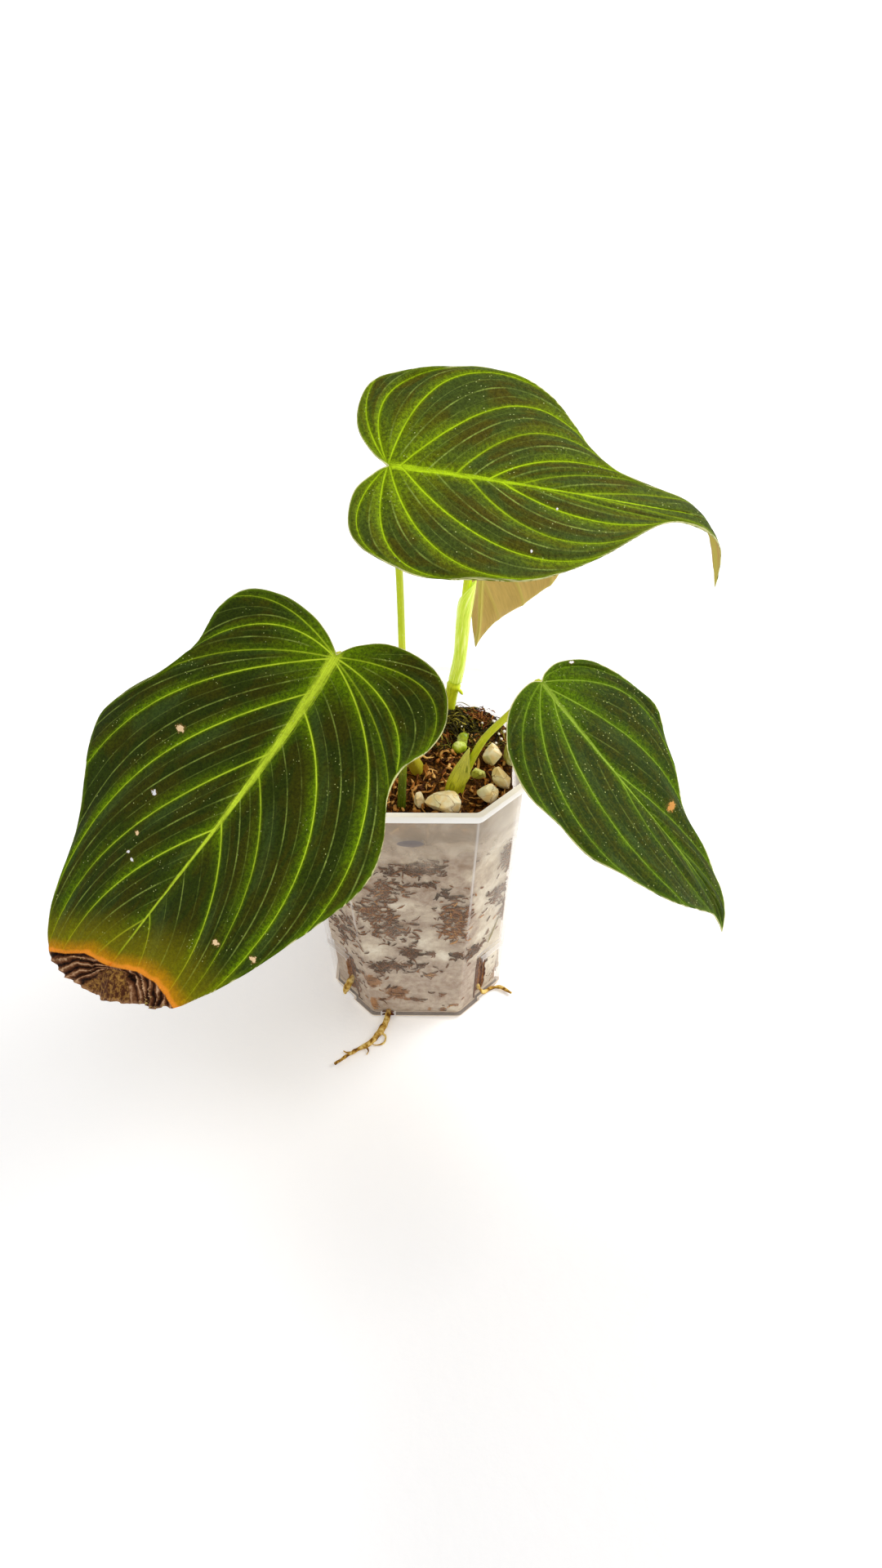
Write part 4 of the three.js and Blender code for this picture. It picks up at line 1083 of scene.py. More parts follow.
fresh_stalk = stalk_finish("fresh_stalk", paint(70, 94, 16), paint(206, 222, 40), paint(168, 200, 24),
                           turn=(0.1, 0.34))
rear_stalk = stalk_finish("rear_stalk", paint(210, 232, 30), paint(218, 238, 36), paint(232, 244, 110))
right_stalk = stalk_finish("right_stalk", paint(196, 206, 20), paint(206, 220, 34), paint(156, 180, 8))
stub_stalk = stalk_finish("stub_stalk", paint(184, 176, 44), paint(200, 206, 60), paint(140, 136, 24),
                          turn=(0.2, 0.5))
old_stalk = stalk_finish("old_stalk", paint(196, 212, 10), paint(218, 236, 40), paint(172, 190, 8))
print("a stalk's finish:", len(old_stalk.tree.nodes), "nodes")


# %% Four stalks
def keel_point(leaf, s, drop):
    """The point that lies drop under the midrib, s along it."""
    track = follow_course(leaf)
    return blade_point(track, np.array([float(s)]), np.array([0.0]), np.array([-float(drop)]))[0]


def stalk(name, stops, leaf, radii, rings, sides, ribs, rib_depth, finish):
    """A stalk whose last stops bend into the midrib under the blade."""
    into_keel = [keel_point(leaf, -0.6, 1.4), keel_point(leaf, 2.5, 0.9)]
    body = tube(stops + into_keel, radii, rings, sides, ribs, rib_depth)
    make_piece(f"stalk_{name}", body, [finish], [f"petiole_{name}"])


PETIOLE_TOP = [(-3.1, -19.8, 101), (-2.9, -19.7, 108), (-0.9, -19.4, 145), (-0.6, -19.2, 175),
               (-0.6, -18.8, 205), (-1.5, -18.5, 226)]
PETIOLE_LEFT = [(3.2, -2.2, 101), (2.2, -3.4, 109), (0.2, -5.6, 117), (-8, -13.5, 143),
                (-15.5, -20.2, 164)]
PETIOLE_RIGHT = [(15.6, -12.4, 101), (16.4, -12.8, 108), (18.2, -13.2, 115.6), (21.6, -14.1, 125),
                 (25.4, -15, 134.5), (32.3, -16.7, 145.5), (38.2, -18.2, 154.5)]
PETIOLE_REAR = [(15.4, 25, 126.8), (17, 26, 136), (18.1, 27.5, 150), (19.7, 30, 167),
                (21.9, 32, 184), (24.2, 34.2, 195)]

stalk("top", PETIOLE_TOP, TOP, [(0, 1.5), (0.1, 1.45), (0.3, 1.15), (0.97, 1.0), (1, 0.5)],
      110, 20, 5, 0.05, fresh_stalk)
stalk("left", PETIOLE_LEFT, LEFT, [(0, 2.5), (0.14, 2.6), (0.26, 1.6), (0.5, 1.3), (0.96, 1.25), (1, 0.6)],
      90, 22, 6, 0.07, stub_stalk)
stalk("right", PETIOLE_RIGHT, RIGHT,
      [(0, 2.2), (0.12, 2.2), (0.24, 1.9), (0.36, 1.3), (0.95, 1.15), (1, 0.6)],
      90, 22, 6, 0.07, right_stalk)
stalk("rear", PETIOLE_REAR, REAR, [(0, 1.6), (0.5, 1.45), (0.96, 1.2), (1, 0.6)],
      80, 20, 5, 0.05, rear_stalk)

# %% The short stem behind, with the stub of a root on its node
STEM_REAR = [(11.8, 23.7, 104), (12.9, 24.1, 114), (13.8, 24.4, 120), (15.2, 24.9, 126.4)]
NUB = [(14.6, 24.2, 124.6), (16.6, 23.2, 124), (18.2, 22.2, 122.4)]

stem = joined([
    tube(STEM_REAR, [(0, 2.4), (0.5, 2.3), (0.86, 2.35), (0.93, 2.65), (1, 1.9)], 50, 24, 7, 0.06),
    tube(NUB, [(0, 0.9), (0.8, 0.55), (1, 0.2)], 16, 10, rough=0.15),
])
make_piece("stem_behind", stem, [old_stalk], ["stem_rear"])

# %% [markdown]
# The rear leaf's stalk still stands in the papery sheath that held it as a bud: a thin sheet,
# wrapped round the stalk, open above and ending in a free tongue. It could be a tube with a part
# cut away. A sheet on a path is simpler: rows say how far round it reaches at each height, so the
# same function draws any sheath, bract or curl of bark. The sheet is see-through, so its finish
# has an alpha that is lower between the fibres.

# %% A sheet wrapped round a path
def wrap(stops, rows, rings=60, columns=24, thickness=0.3):
    """Rows are [share of the path, radius, middle angle, half width in degrees]."""
    path = smooth_path(stops, rings)
    across, upright = frames_along(path)
    table = np.array(rows, float)
    share = np.linspace(0, 1, rings)
    radius, middle, half = (np.interp(share, table[:, 0], table[:, k]) for k in (1, 2, 3))
    spread = np.linspace(-1, 1, columns + 1)
    angle = np.radians(middle[:, None] + half[:, None] * spread[None, :])
    ring = (across[:, None] * np.cos(angle)[..., None] + upright[:, None] * np.sin(angle)[..., None])
    skins = [(path[:, None] + ring * (radius[:, None, None] + grow)).reshape(-1, 3)
             for grow in (thickness / 2, -thickness / 2)]
    index = np.arange(rings * (columns + 1)).reshape(rings, columns + 1)
    quads = np.stack([index[:-1, :-1], index[:-1, 1:], index[1:, 1:], index[1:, :-1]], -1)
    points, upper, lower, walls, used = close_sheet(*skins, quads.reshape(-1, 4).tolist())
    numbers = {"up": np.tile(np.repeat(share, columns + 1)[used], 2),
               "round": np.tile(np.tile(spread, rings)[used], 2)}
    return points, upper + walls + lower, numbers


# %% The papery sheath
# The emission is painted light: the sheath glows yellow-green as if lit through
paper = Finish("papery_sheath", roughness=0.4, specular_ior_level=0.3, emission_color=paint(214, 240, 70),
               emission_strength=0.22)
lines = paper.grain(1.0, paper.point(paper.drawn("round") * 9, paper.drawn("up") * 4, 0), detail=3)
paper.set(alpha=0.55 + 0.4 * paper.rise(lines, 0.4, 0.7), base_color=paper.ramp(
    lines, (0.3, paint(204, 228, 60)), (0.55, paint(228, 242, 116)), (0.75, paint(248, 252, 208))))
paper.bump(lines, 0.15)
sheath = wrap(PETIOLE_REAR[:4], [(0, 2.35, -20, 178), (0.3, 2.2, -20, 176), (0.7, 2.5, -20, 160),
                                 (0.84, 2.8, -16, 124), (0.95, 2.9, -12, 64), (1, 2.9, -10, 8)], 70, 30)
make_piece("sheath_papery", sheath, [paper], ["sheath_rear"])

# %% [markdown]
# ## The pot
#
# The pot is thin clear plastic with cut corners, a rim band, a recess low in each corner and a
# drain slot beside it. It is lofted from outlines with softly bent corners and cut by plain
# blocks. Condensation makes the upper part pale and milky. Real glass would need many light
# bounces to show the fill, so the plastic is see-through by an alpha that grows where it is hazy,
# and also where painted highlights and painted light lie on it.

# %% Outlines of the pot
POT_HEIGHT = 122.5
POT_TOP_HALF, POT_BASE_HALF = 38.9, 33.5
POT_TOP_CORNER, POT_BASE_CORNER = 15, 16
POT_WALL, POT_FLOOR = 1.2, 1.6
RIM_HEIGHT, RIM_OUT = 3.2, 1.1
CORNER_BEND, FOOT_INSET = 1.4, 1.4
POCKET_TOP, POCKET_DEPTH = 30, 1.8
SLOT_WIDTH, SLOT_BOTTOM, SLOT_TOP = 2.6, 4, 27
BEND_STEPS = 7


def pot_half(z):
    return np.interp(z, [0, POT_HEIGHT], [POT_BASE_HALF, POT_TOP_HALF])


def pot_corner(z):
    return np.interp(z, [0, POT_HEIGHT], [POT_BASE_CORNER, POT_TOP_CORNER])


def corner_reach(z):
    """How far the flat of a cut corner is from the pot's axis."""
    return (2 * pot_half(z) - pot_corner(z)) / math.sqrt(2)


def octagon(z, out):
    """The eight corners of the pot's outline at one height, moved in or out."""
    half = pot_half(z) + out
    short = pot_half(z) - pot_corner(z) + out * (math.sqrt(2) - 1)
    return np.array([[short, -half], [half, -short], [half, short], [short, half],
                     [-short, half], [-half, short], [-half, -short], [-short, -half]])


def pot_ring(z, out=0.0):
    """The outline at one height with softly bent corners."""
    corners = octagon(z, out)
    ring = []
    for i, corner in enumerate(corners):
        to_last = corners[i - 1] - corner
        to_next = corners[(i + 1) % 8] - corner
        start = corner + CORNER_BEND * to_last / np.linalg.norm(to_last)
        end = corner + CORNER_BEND * to_next / np.linalg.norm(to_next)
        for t in np.linspace(0, 1, BEND_STEPS):
            ring.append((1 - t) ** 2 * start + 2 * t * (1 - t) * corner + t * t * end)
    return np.column_stack([ring, np.full(len(ring), z)])


def loft(rings):
    """A closed body over a row of rings."""
    points = np.concatenate([*rings, [np.mean(rings[0], axis=0), np.mean(rings[-1], axis=0)]])
    return points, skin_faces(len(rings), len(rings[0])), {}


print("pot outline:", len(pot_ring(0)), "points")


# %% Blocks that cut the corners
CORNER_SIGNS = [(1, -1), (1, 1), (-1, 1), (-1, -1)]


def corner_place(signs, out, sideways, z):
    """A point by one cut corner: out from the axis, and sideways along the corner's flat."""
    x = signs[0] * (out + sideways) / math.sqrt(2)
    y = signs[1] * (out - sideways) / math.sqrt(2)
    return np.array([x, y, z])


def corner_block(signs, low, high, depth, outward, start, end):
    rings = []
    for z in (low, high):
        inner, outer = corner_reach(z) - depth, corner_reach(z) + outward
        ring = [(inner, start), (outer, start), (outer, end), (inner, end)]
        rings.append(np.array([corner_place(signs, out, aside, z) for out, aside in ring]))
    turned = signs[0] * signs[1] > 0
    return loft([ring[::-1] for ring in rings] if turned else rings)


def pocket_blocks(grow):
    return [corner_block(signs, -5, POCKET_TOP + grow, POCKET_DEPTH + grow, 12, -grow, 30)
            for signs in CORNER_SIGNS]


def cylinder_part(x, y, radius, low, high):
    angle = np.linspace(0, 2 * np.pi, 24, endpoint=False)
    ring = np.column_stack([x + radius * np.cos(angle), y + radius * np.sin(angle)])
    return loft([np.column_stack([ring, np.full(len(ring), z)]) for z in (low, high)])


def block_part(x0, x1, y0, y1, z0, z1, turn):
    corners = np.array([[x0, y0], [x1, y0], [x1, y1], [x0, y1]])
    c, s = math.cos(turn), math.sin(turn)
    corners = corners @ np.array([[c, s], [-s, c]])
    return loft([np.column_stack([corners, np.full(4, z)]) for z in (z0, z1)])


def cut(body, cutter):
    """Takes the cutter away from the body, and then out of the scene."""
    step = body.modifiers.new("cut", "BOOLEAN")
    step.operation = "DIFFERENCE"
    step.solver = "EXACT"
    step.object = cutter
    graph = bpy.context.evaluated_depsgraph_get()
    result = bpy.data.meshes.new_from_object(body.evaluated_get(graph))
    body.modifiers.clear()
    body.data = result
    bpy.data.objects.remove(cutter)


print("a cut corner is", round(corner_reach(0), 1), "mm from the axis at the foot")

# %% The shell
RIM_FOOT = POT_HEIGHT - RIM_HEIGHT
DRAIN_PLACE, DRAIN_RADIUS = 16, 3.5
NOTCH_START, NOTCH_END = -14.2, -8.2
HOLE_HALF = 4
# Rows of [z, share of the foot's inset or of the rim's reach], and [z, how much narrower]
FOOT_ROWS = [(0, 1), (0.2, 0.62), (0.6, 0.3), (1.1, 0.08), (1.8, 0)]
RIM_ROWS = [(RIM_FOOT, 0), (RIM_FOOT + 0.3, 1), (POT_HEIGHT - 0.6, 1), (POT_HEIGHT - 0.2, 0.85),
            (POT_HEIGHT, 0.45)]
INSIDE_ROWS = [(POT_FLOOR, 0.8), (POT_FLOOR + 0.8, 0), (POT_HEIGHT - 0.8, 0), (POT_HEIGHT + 2, -0.8)]

rings = [pot_ring(z, -FOOT_INSET * share) for z, share in FOOT_ROWS]
rings += [pot_ring(z) for z in range(10, 118, 9)]
rings += [pot_ring(z, RIM_OUT * share) for z, share in RIM_ROWS]
outside = bare_object("outside", loft(rings))
inside = bare_object("inside", loft([pot_ring(z, -POT_WALL - narrower) for z, narrower in INSIDE_ROWS]))
cut(inside, bare_object("inner_pockets", joined(pocket_blocks(POT_WALL))))
cut(outside, bare_object("outer_pockets", joined(pocket_blocks(0))))
cut(outside, inside)
slots = [corner_block(signs, SLOT_BOTTOM, SLOT_TOP, 6, 6, 0, SLOT_WIDTH) for signs in CORNER_SIGNS]
drains = [cylinder_part(DRAIN_PLACE * x, DRAIN_PLACE * y, DRAIN_RADIUS, -HOLE_HALF, HOLE_HALF)
          for x, y in CORNER_SIGNS]
notches = [block_part(NOTCH_START, NOTCH_END, -POT_BASE_HALF - 2, -POT_BASE_HALF + 6,
                      -HOLE_HALF, HOLE_HALF, side * math.pi / 2) for side in range(4)]
for name, blocks in (("slots", slots), ("drains", drains), ("notches", notches)):
    cut(outside, bare_object(name, joined(blocks)))
pot = outside
pot.name = "pot_shell"
print("pot shell:", len(pot.data.polygons), "faces")

# %% [markdown]
# The plastic isn't evenly clear. Water hangs on its upper part. Along the upright edges at the
# front and on the ledge over each recess a highlight is painted, the right side gets painted
# light, a painted shadow lines the very bottom where the pot meets the floor, and painted light
# lifts the shaded foot and the front of the rim band. Each of these could be a thin mesh of its own
# on the wall. As they have no thickness that shows, each is a share from 0 to 1 worked out from the
# place on the pot, and the shares together give the alpha and pick the colour.

# %% The haze on the plastic, with painted light on its right side and painted highlights on its upright edges
OVAL_X, OVAL_Z = 0.6, 107.9
OVAL_HALF_WIDTH, OVAL_HALF_HEIGHT = 4.6, 1.7

# The emission is painted light: it lifts the shaded foot and the front of the rim band
plastic = Finish("clear_hazy_plastic", specular_ior_level=0.4, emission_strength=0.4)


def from_upright_edge(finish, x, y, height):
    """Millimetres from the nearest of the pot's eight upright edges."""
    half = POT_BASE_HALF + height * ((POT_TOP_HALF - POT_BASE_HALF) / POT_HEIGHT)
    corner = POT_BASE_CORNER - height * ((POT_BASE_CORNER - POT_TOP_CORNER) / POT_HEIGHT)
    outer = half - finish.math("MAXIMUM", x, y)
    inner = half - corner - finish.math("MINIMUM", x, y)
    return finish.math("SQRT", outer * outer + inner * inner)


spot = plastic.place()
sideways, depth, height = (plastic.axis(spot, letter) for letter in "XYZ")
x, y = abs(sideways), abs(depth)
fog = plastic.grain(9, detail=5, twist=0.6)
front = plastic.rise(depth, 14, -8)
upper_fog = plastic.rise(height + (fog - 0.5) * 26, 90, 110) * (0.1 + 0.3 * front)
# Painted light: the right side, which faces the window lamp, is hazier and paler
right_painted_light = 0.14 * plastic.rise(sideways, 24, 33)
wide, tall = (sideways - OVAL_X) / OVAL_HALF_WIDTH, (height - OVAL_Z) / OVAL_HALF_HEIGHT
oval = plastic.rise(wide * wide + tall * tall + (fog - 0.5) * 0.8, 1.2, 0.8) * front
bare = plastic.rise(height, 104, 108) * (1 - front)
cover = 0.08 + plastic.rise(fog, 0.4, 0.75) * 0.03 + upper_fog + 0.42 * oval + right_painted_light
# Painted highlight: a pale line down each upright edge at the front, fainter low on the pot
front_edge_highlight = plastic.rise(from_upright_edge(plastic, x, y, height), 0.9, 0.3) * front
painted_edge_highlight = front_edge_highlight * (0.12 + 0.5 * plastic.rise(height + (fog - 0.5) * 60, 30, 90))
cover = plastic.math("MAXIMUM", cover * (1 - 0.75 * bare), painted_edge_highlight)
print("haze:", len(plastic.tree.nodes), "nodes")

# %% A painted highlight on the ledge over each recess, a painted shadow and painted light at the foot, and the rim band
reach_slope = (corner_reach(POT_HEIGHT) - corner_reach(0)) / POT_HEIGHT
# Painted highlight: a pale line along the step of the ledge over each recess
in_corner = plastic.rise(corner_reach(0) + height * reach_slope - (x + y) * math.sqrt(0.5), 3.4, 3.0)
painted_ledge_highlight = in_corner * plastic.rise(height, POCKET_TOP - 1.4, POCKET_TOP - 0.6)
painted_ledge_highlight = painted_ledge_highlight * plastic.rise(height, POCKET_TOP + 0.9, POCKET_TOP + 0.3) * plastic.rise(x - y, -1.6, -1.0)
cover = plastic.math("MAXIMUM", cover, painted_ledge_highlight * 0.45)
beside_slot = plastic.rise(abs((x - y) * math.sqrt(0.5) - 1.5), 3.4, 2.8)
by_slot = beside_slot * plastic.rise(height, POCKET_TOP - 2, POCKET_TOP - 3)
cover = cover * (1 - 0.75 * by_slot)
# Painted shadow along the very bottom, where the pot meets the floor; above it the shaded foot is made nearly
# opaque for painted light
painted_contact_shadow, foot = plastic.rise(height, 0.36, 0.16), plastic.rise(height, 2.4, 1.7)
cover = plastic.math("MAXIMUM", cover, foot * 0.8)
band = plastic.rise(height, RIM_FOOT - 0.2, RIM_FOOT + 0.4)
# Painted highlight: the rim band is nearly opaque at the front and clear at the back
plastic.set(alpha=plastic.blend(band, cover, 0.2 + 0.74 * front, "FLOAT"), roughness=0.1 + 0.1 * fog)
print("with ledge and foot:", len(plastic.tree.nodes), "nodes")

# %% The colours of the plastic, one layer over the other
tinted = plastic.blend(plastic.rise(fog, 0.4, 0.7), paint(192, 176, 156), paint(220, 206, 186))
for share, tint in (
        (oval * 0.9, paint(116, 110, 112)),
        # Painted light: the right side is paler
        (plastic.rise(sideways, 25, 33) * 0.6, paint(242, 234, 220)),
        # Painted highlights on the upright edges and on the ledges over the recesses
        (painted_edge_highlight + painted_ledge_highlight, paint(246, 244, 244)),
        # Painted light: the shaded foot is coloured pale
        (foot, plastic.ramp(fog, (0.35, paint(210, 192, 168)), (0.65, paint(232, 218, 198)))),
        # Painted shadow along the foot's contact line
        (painted_contact_shadow, paint(128, 114, 102)),
        # Painted highlight: the rim band is white
        (band, paint(255, 255, 255))):
    tinted = plastic.blend(share, tinted, tint)
# Painted light: the foot glows warm, except on the painted contact shadow
painted_glow = plastic.blend(foot * (1 - painted_contact_shadow) * 0.36, (0, 0, 0), paint(255, 236, 212))
# Painted light: the front of the rim band glows a little, cool white
plastic.set(base_color=tinted, emission_color=plastic.blend(band * front * 0.2, painted_glow, (0.86, 1, 1)))
dress(pot, [plastic], 28)
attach(pot, "root")
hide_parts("pot")

# %% [markdown]
# ## The fill
#
# Behind the haze the bark shows in patches of cream, warm grey and brown, and from above it is a
# dark tangle of shredded bark, moss and grit. One lumpy body fills the pot: its side and its top
# have their own finishes. Shreds, chips and moss are then strewn over it as real small pieces.

# %% The body of the fill
MIX_FRONT = 107.5
MOUND_X, MOUND_Y, MOUND_HEIGHT, MOUND_SPREAD = 12, 15, 6, 13
FALL_BEHIND = 5
CORE_INSET = 2.15
CORE_FOOT, CORE_EDGE = 1.9, 104.6
SECTORS = 300


def mix_height(x, y):
    """Height of the fill: level in front, with a mound behind the middle and a fall behind that."""
    away = (x - MOUND_X) ** 2 + (y - MOUND_Y) ** 2
    mound = MOUND_HEIGHT * np.exp(-away / (2 * MOUND_SPREAD ** 2))
    fall = FALL_BEHIND * soft_step(y, 18, 38)
    waves = np.sin(0.42 * x + 1.1) * np.cos(0.37 * y) + 0.7 * np.sin(0.71 * y - 0.5 * x)
    return MIX_FRONT + mound - fall + waves


def wall_point(share, z, out):
    """A point of the pot's side: share runs once round from the middle of the front."""
    corners = octagon(float(z), out)
    loop = np.vstack([(corners[0] + corners[7]) / 2, corners, (corners[0] + corners[7]) / 2])
    lengths = np.concatenate([[0], np.cumsum(np.linalg.norm(np.diff(loop, axis=0), axis=1))])
    at = (share % 1.0) * lengths[-1]
    return np.stack([np.interp(at, lengths, loop[:, 0]), np.interp(at, lengths, loop[:, 1]),
                     np.full(np.shape(at), float(z))], -1)


ring_share = np.arange(SECTORS) / SECTORS
body_rings = [wall_point(ring_share, z, -CORE_INSET) for z in np.linspace(CORE_FOOT, CORE_EDGE, 86)]
for ring in body_rings:
    ring[:, :2] *= (1 + 0.004 * lumps(ring, 4, 21) + 0.002 * lumps(ring, 1.5, 22))[:, None]
edge = body_rings[-1]
for share in np.concatenate([[0.995], np.linspace(0.985, 0.02, 75)]):
    x, y = edge[:, 0] * share, edge[:, 1] * share
    flat = np.stack([x, y, 0 * x], -1)
    z = mix_height(x, y) + 0.5 * lumps(flat, 3.5, 31) + 0.45 * lumps(flat, 1.3, 32) - 0.6
    z = np.where(share > 0.98, np.maximum(z - 1.0, 104.9), z)
    body_rings.append(np.stack([x, y, z], -1))
core = bare_object("core", loft(body_rings))
cut(core, bare_object("core_pockets", joined(pocket_blocks(POT_WALL + 0.8))))
core_points = np.array([v.co for v in core.data.vertices]) / MM
top_faces = np.array([p.center.z / MM > 103.5 and p.normal.z > 0.2 for p in core.data.polygons])
print("fill body:", len(core.data.polygons), "faces")

# %% [markdown]
# The bark isn't spread evenly behind the wall. Some patches are pale and others stained, and they
# are what one knows this pot by. An image would hold them, but would blur up close. Here each is
# an oval with soft edges, and noise in the finish then tears its outline.

# %% What shows through the wall, read off its front
# Rows: [mm round from the middle, z, half width, half height], and for bark also its tone, how
# much of it is a stain, and how many shreds crowd there.
PALE_PATCHES = [
    (-16.3, 44, 5.3, 4.3), (11.3, 40.2, 3.7, 4), (5.9, 50, 4.2, 5.5), (14.4, 3.5, 4.8, 3.8),
    (-2.2, 71, 5.8, 3.2), (21, 86.6, 3.3, 3.7), (42, 100, 6, 7), (35, 46, 4.7, 5.7),
    (38.7, 25, 3.6, 8),
]
BARK_PATCHES = [
    (-16.8, 22.7, 3.8, 4.3, 0.6, 1, 8), (-7.3, 15, 5, 4.7, 0.45, 1, 10), (-1, 10.7, 5, 1, 0.45, 1, 5),
    (-12.7, 10.7, 3.5, 1.1, 0.5, 0.8, 3), (-16.8, 7.4, 1.9, 4.5, 0.75, 1, 3),
    (10.6, 13.5, 1.5, 1, 0.45, 1, 2), (5.7, 3.6, 1.1, 1, 0.6, 1, 0), (10.8, 2.8, 1.6, 1.8, 0.5, 1, 2),
    (15, 6.2, 3, 0.9, 0.5, 0.8, 3), (6.7, 27.6, 3.4, 1.6, 0.5, 0.8, 8),
    (-9.4, 33.4, 9.7, 3.5, 0.3, 0.75, 60), (-1.2, 42.3, 3.4, 4.3, 0.25, 0.9, 30),
    (-13, 30, 2.3, 3.5, 0.2, 0.6, 12), (6.3, 41.5, 2, 1.7, 0.35, 0.6, 8),
    (17.3, 41, 2.5, 2.4, 0.2, 0.8, 14), (3.1, 34, 2, 1.5, 0.35, 0.5, 8),
    (2.2, 91.7, 10.3, 3.2, 0.25, 0.6, 90), (8, 96, 5.6, 1.5, 0.3, 0.2, 14),
    (-7.6, 81, 6.7, 6.1, 0.4, 0, 56), (4.8, 84, 5.7, 1.8, 0.35, 0, 20),
    (12.4, 79, 1.1, 3.1, 0.05, 0.8, 8), (-14, 66.7, 7.8, 9.6, 0.45, 0.25, 120),
    (-7.7, 57, 8, 8.3, 0.4, 0.15, 70), (16.7, 67, 5.9, 6.4, 0.5, 0.3, 110),
    (16.2, 55.5, 5, 5.8, 0.55, 0.1, 50), (42.7, 83.6, 3.8, 8.3, 0.4, 0.35, 70),
    (37.5, 66, 4.6, 5.3, 0.35, 0.1, 50), (42.7, 52.7, 4, 7.4, 0.4, 0.15, 50),
    (27, 39, 5.2, 3.5, 0.25, 0.3, 44), (39.5, 6, 4.3, 6, 0.5, 1, 6),
    (-27, 15, 4.1, 13.7, 0.4, 0.3, 40), (-30, 48, 8.8, 12, 0.4, 0.2, 90), (14, 76.5, 5, 0.6, 0.1, 0, 8),
]
print(len(PALE_PATCHES), "pale patches and", len(BARK_PATCHES), "of bark")


# %% Numbers for the fill's finish: how pale it is, how stained, and the stain's tone
PLAIN_TONE, FAINT = 0.4, 0.02


def mm_round(points):
    """How far round from the middle of the front each point lies, and more behind."""
    x, y, z = points.T
    short = pot_half(z) - pot_corner(z)
    past = np.hypot(np.abs(x) - short, y + pot_half(z) - CORE_INSET)
    return np.where(np.abs(x) < short, x, np.sign(x) * (short + past)) + 500 * (y > 0)


def spread_of(patch, around, z):
    return np.exp(-((around - patch[0]) / patch[2]) ** 2 - ((z - patch[1]) / patch[3]) ** 2)


around, level = mm_round(core_points), core_points[:, 2]
mottled = 0.35 + 0.65 * soft_step(level, 25, 50)
pale = 0.5 + mottled * (0.2 * lumps(core_points * (1, 1, 1.4), 7, 41) + 0.18 * lumps(core_points, 3, 42))
# Painted light: the fill is paler on the right, where the window lamp falls on the pot
pale = pale + 0.3 * soft_step(core_points[:, 0], 20, 27) - 0.06 * soft_step(level, 34, 10)
pale = pale + 0.42 * sum(spread_of(patch, around, level) for patch in PALE_PATCHES)
weights = np.array([spread_of(patch, around, level) * patch[5] for patch in BARK_PATCHES])
behind = 0.7 * np.maximum(0, lumps(core_points * (1, 1, 1.8), 6, 44) - 0.35) * (np.abs(around) > 24)
stain = weights.max(axis=0) + behind
stain_tone = weights.T @ np.array([patch[4] for patch in BARK_PATCHES]) + PLAIN_TONE * FAINT
stain_tone = stain_tone / (weights.sum(axis=0) + FAINT)
store_numbers(core.data, {"pale": pale, "stain": stain, "stain_tone": stain_tone})
print("stained points:", int((stain > 0.5).sum()), "of", len(stain))

# %% Finishes of the fill
pressed = Finish("pressed_fill", roughness=0.8, specular_ior_level=0.2)
cloud = pressed.drawn("pale") + (pressed.grain(2.2, detail=5) - 0.5) * 0.8
clear = pressed.ramp(
    cloud, (0.0, paint(112, 78, 50)), (0.18, paint(158, 132, 108)), (0.42, paint(186, 166, 148)),
    (0.72, paint(222, 208, 186)), (1.0, paint(252, 244, 224)))
ragged = pressed.grain(2.0, detail=6, rough=0.8, twist=0.8)
bark_colour = pressed.ramp(
    pressed.drawn("stain_tone") + (pressed.grain(0.9, detail=4) - 0.5) * 0.9,
    (0.0, paint(78, 44, 22)), (0.4, paint(132, 80, 38)), (0.85, paint(196, 134, 64)))
stained = pressed.rise(pressed.drawn("stain") + (ragged - 0.5) * 1.9, 0.38, 0.5) * 0.92
pressed.set(base_color=pressed.blend(stained, clear, bark_colour))
pressed.bump(pressed.grain(1.2, detail=4), 0.4)

soil = Finish("dark_fill", roughness=0.9, specular_ior_level=0.15)
crumbs = soil.grain(1.1, detail=5, rough=0.7)
soil.set(base_color=soil.ramp(
    crumbs, (0.34, paint(26, 13, 4)), (0.5, paint(72, 42, 12)), (0.64, paint(140, 94, 32)),
    (0.8, paint(196, 150, 72))))
soil.bump(crumbs, 0.8)
core.name = "fill_body"
dress(core, [pressed, soil], 50)
core.data.polygons.foreach_set("material_index", top_faces.astype(np.int32))
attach(core, "root")
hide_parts("potting_mix")

# %% [markdown]
# Many thin shreds of bark lie flat against the inside of the wall and give it its fine zigzag.
# They could be lines in the finish, but then they would have no thickness where the light rakes
# the wall. Here each is a small closed body of seven uneven rings, laid along the wall's outline.
# A seeded generator crowds them in the patches of bark.

# %% One shred on the wall
WALL_GAP = 1.62
GIRTH = 251.0                              # mean length of the wall's outline
GIRTH_AT_FOOT, GIRTH_GROWTH = 230.5, 0.37
SHRED_LOW, SHRED_HIGH, SHRED_STEPS = 3, 112, 7
SHRED_SECTION = ((1, 0.0), (0, 0.25), (-1, 0.0), (0, -0.12))

strewn = np.random.default_rng(7)


def toned(body, tone):
    """A body with one tone of bark all over."""
    points, faces, _ = body
    return points, faces, {"tone": np.full(len(points), tone)}


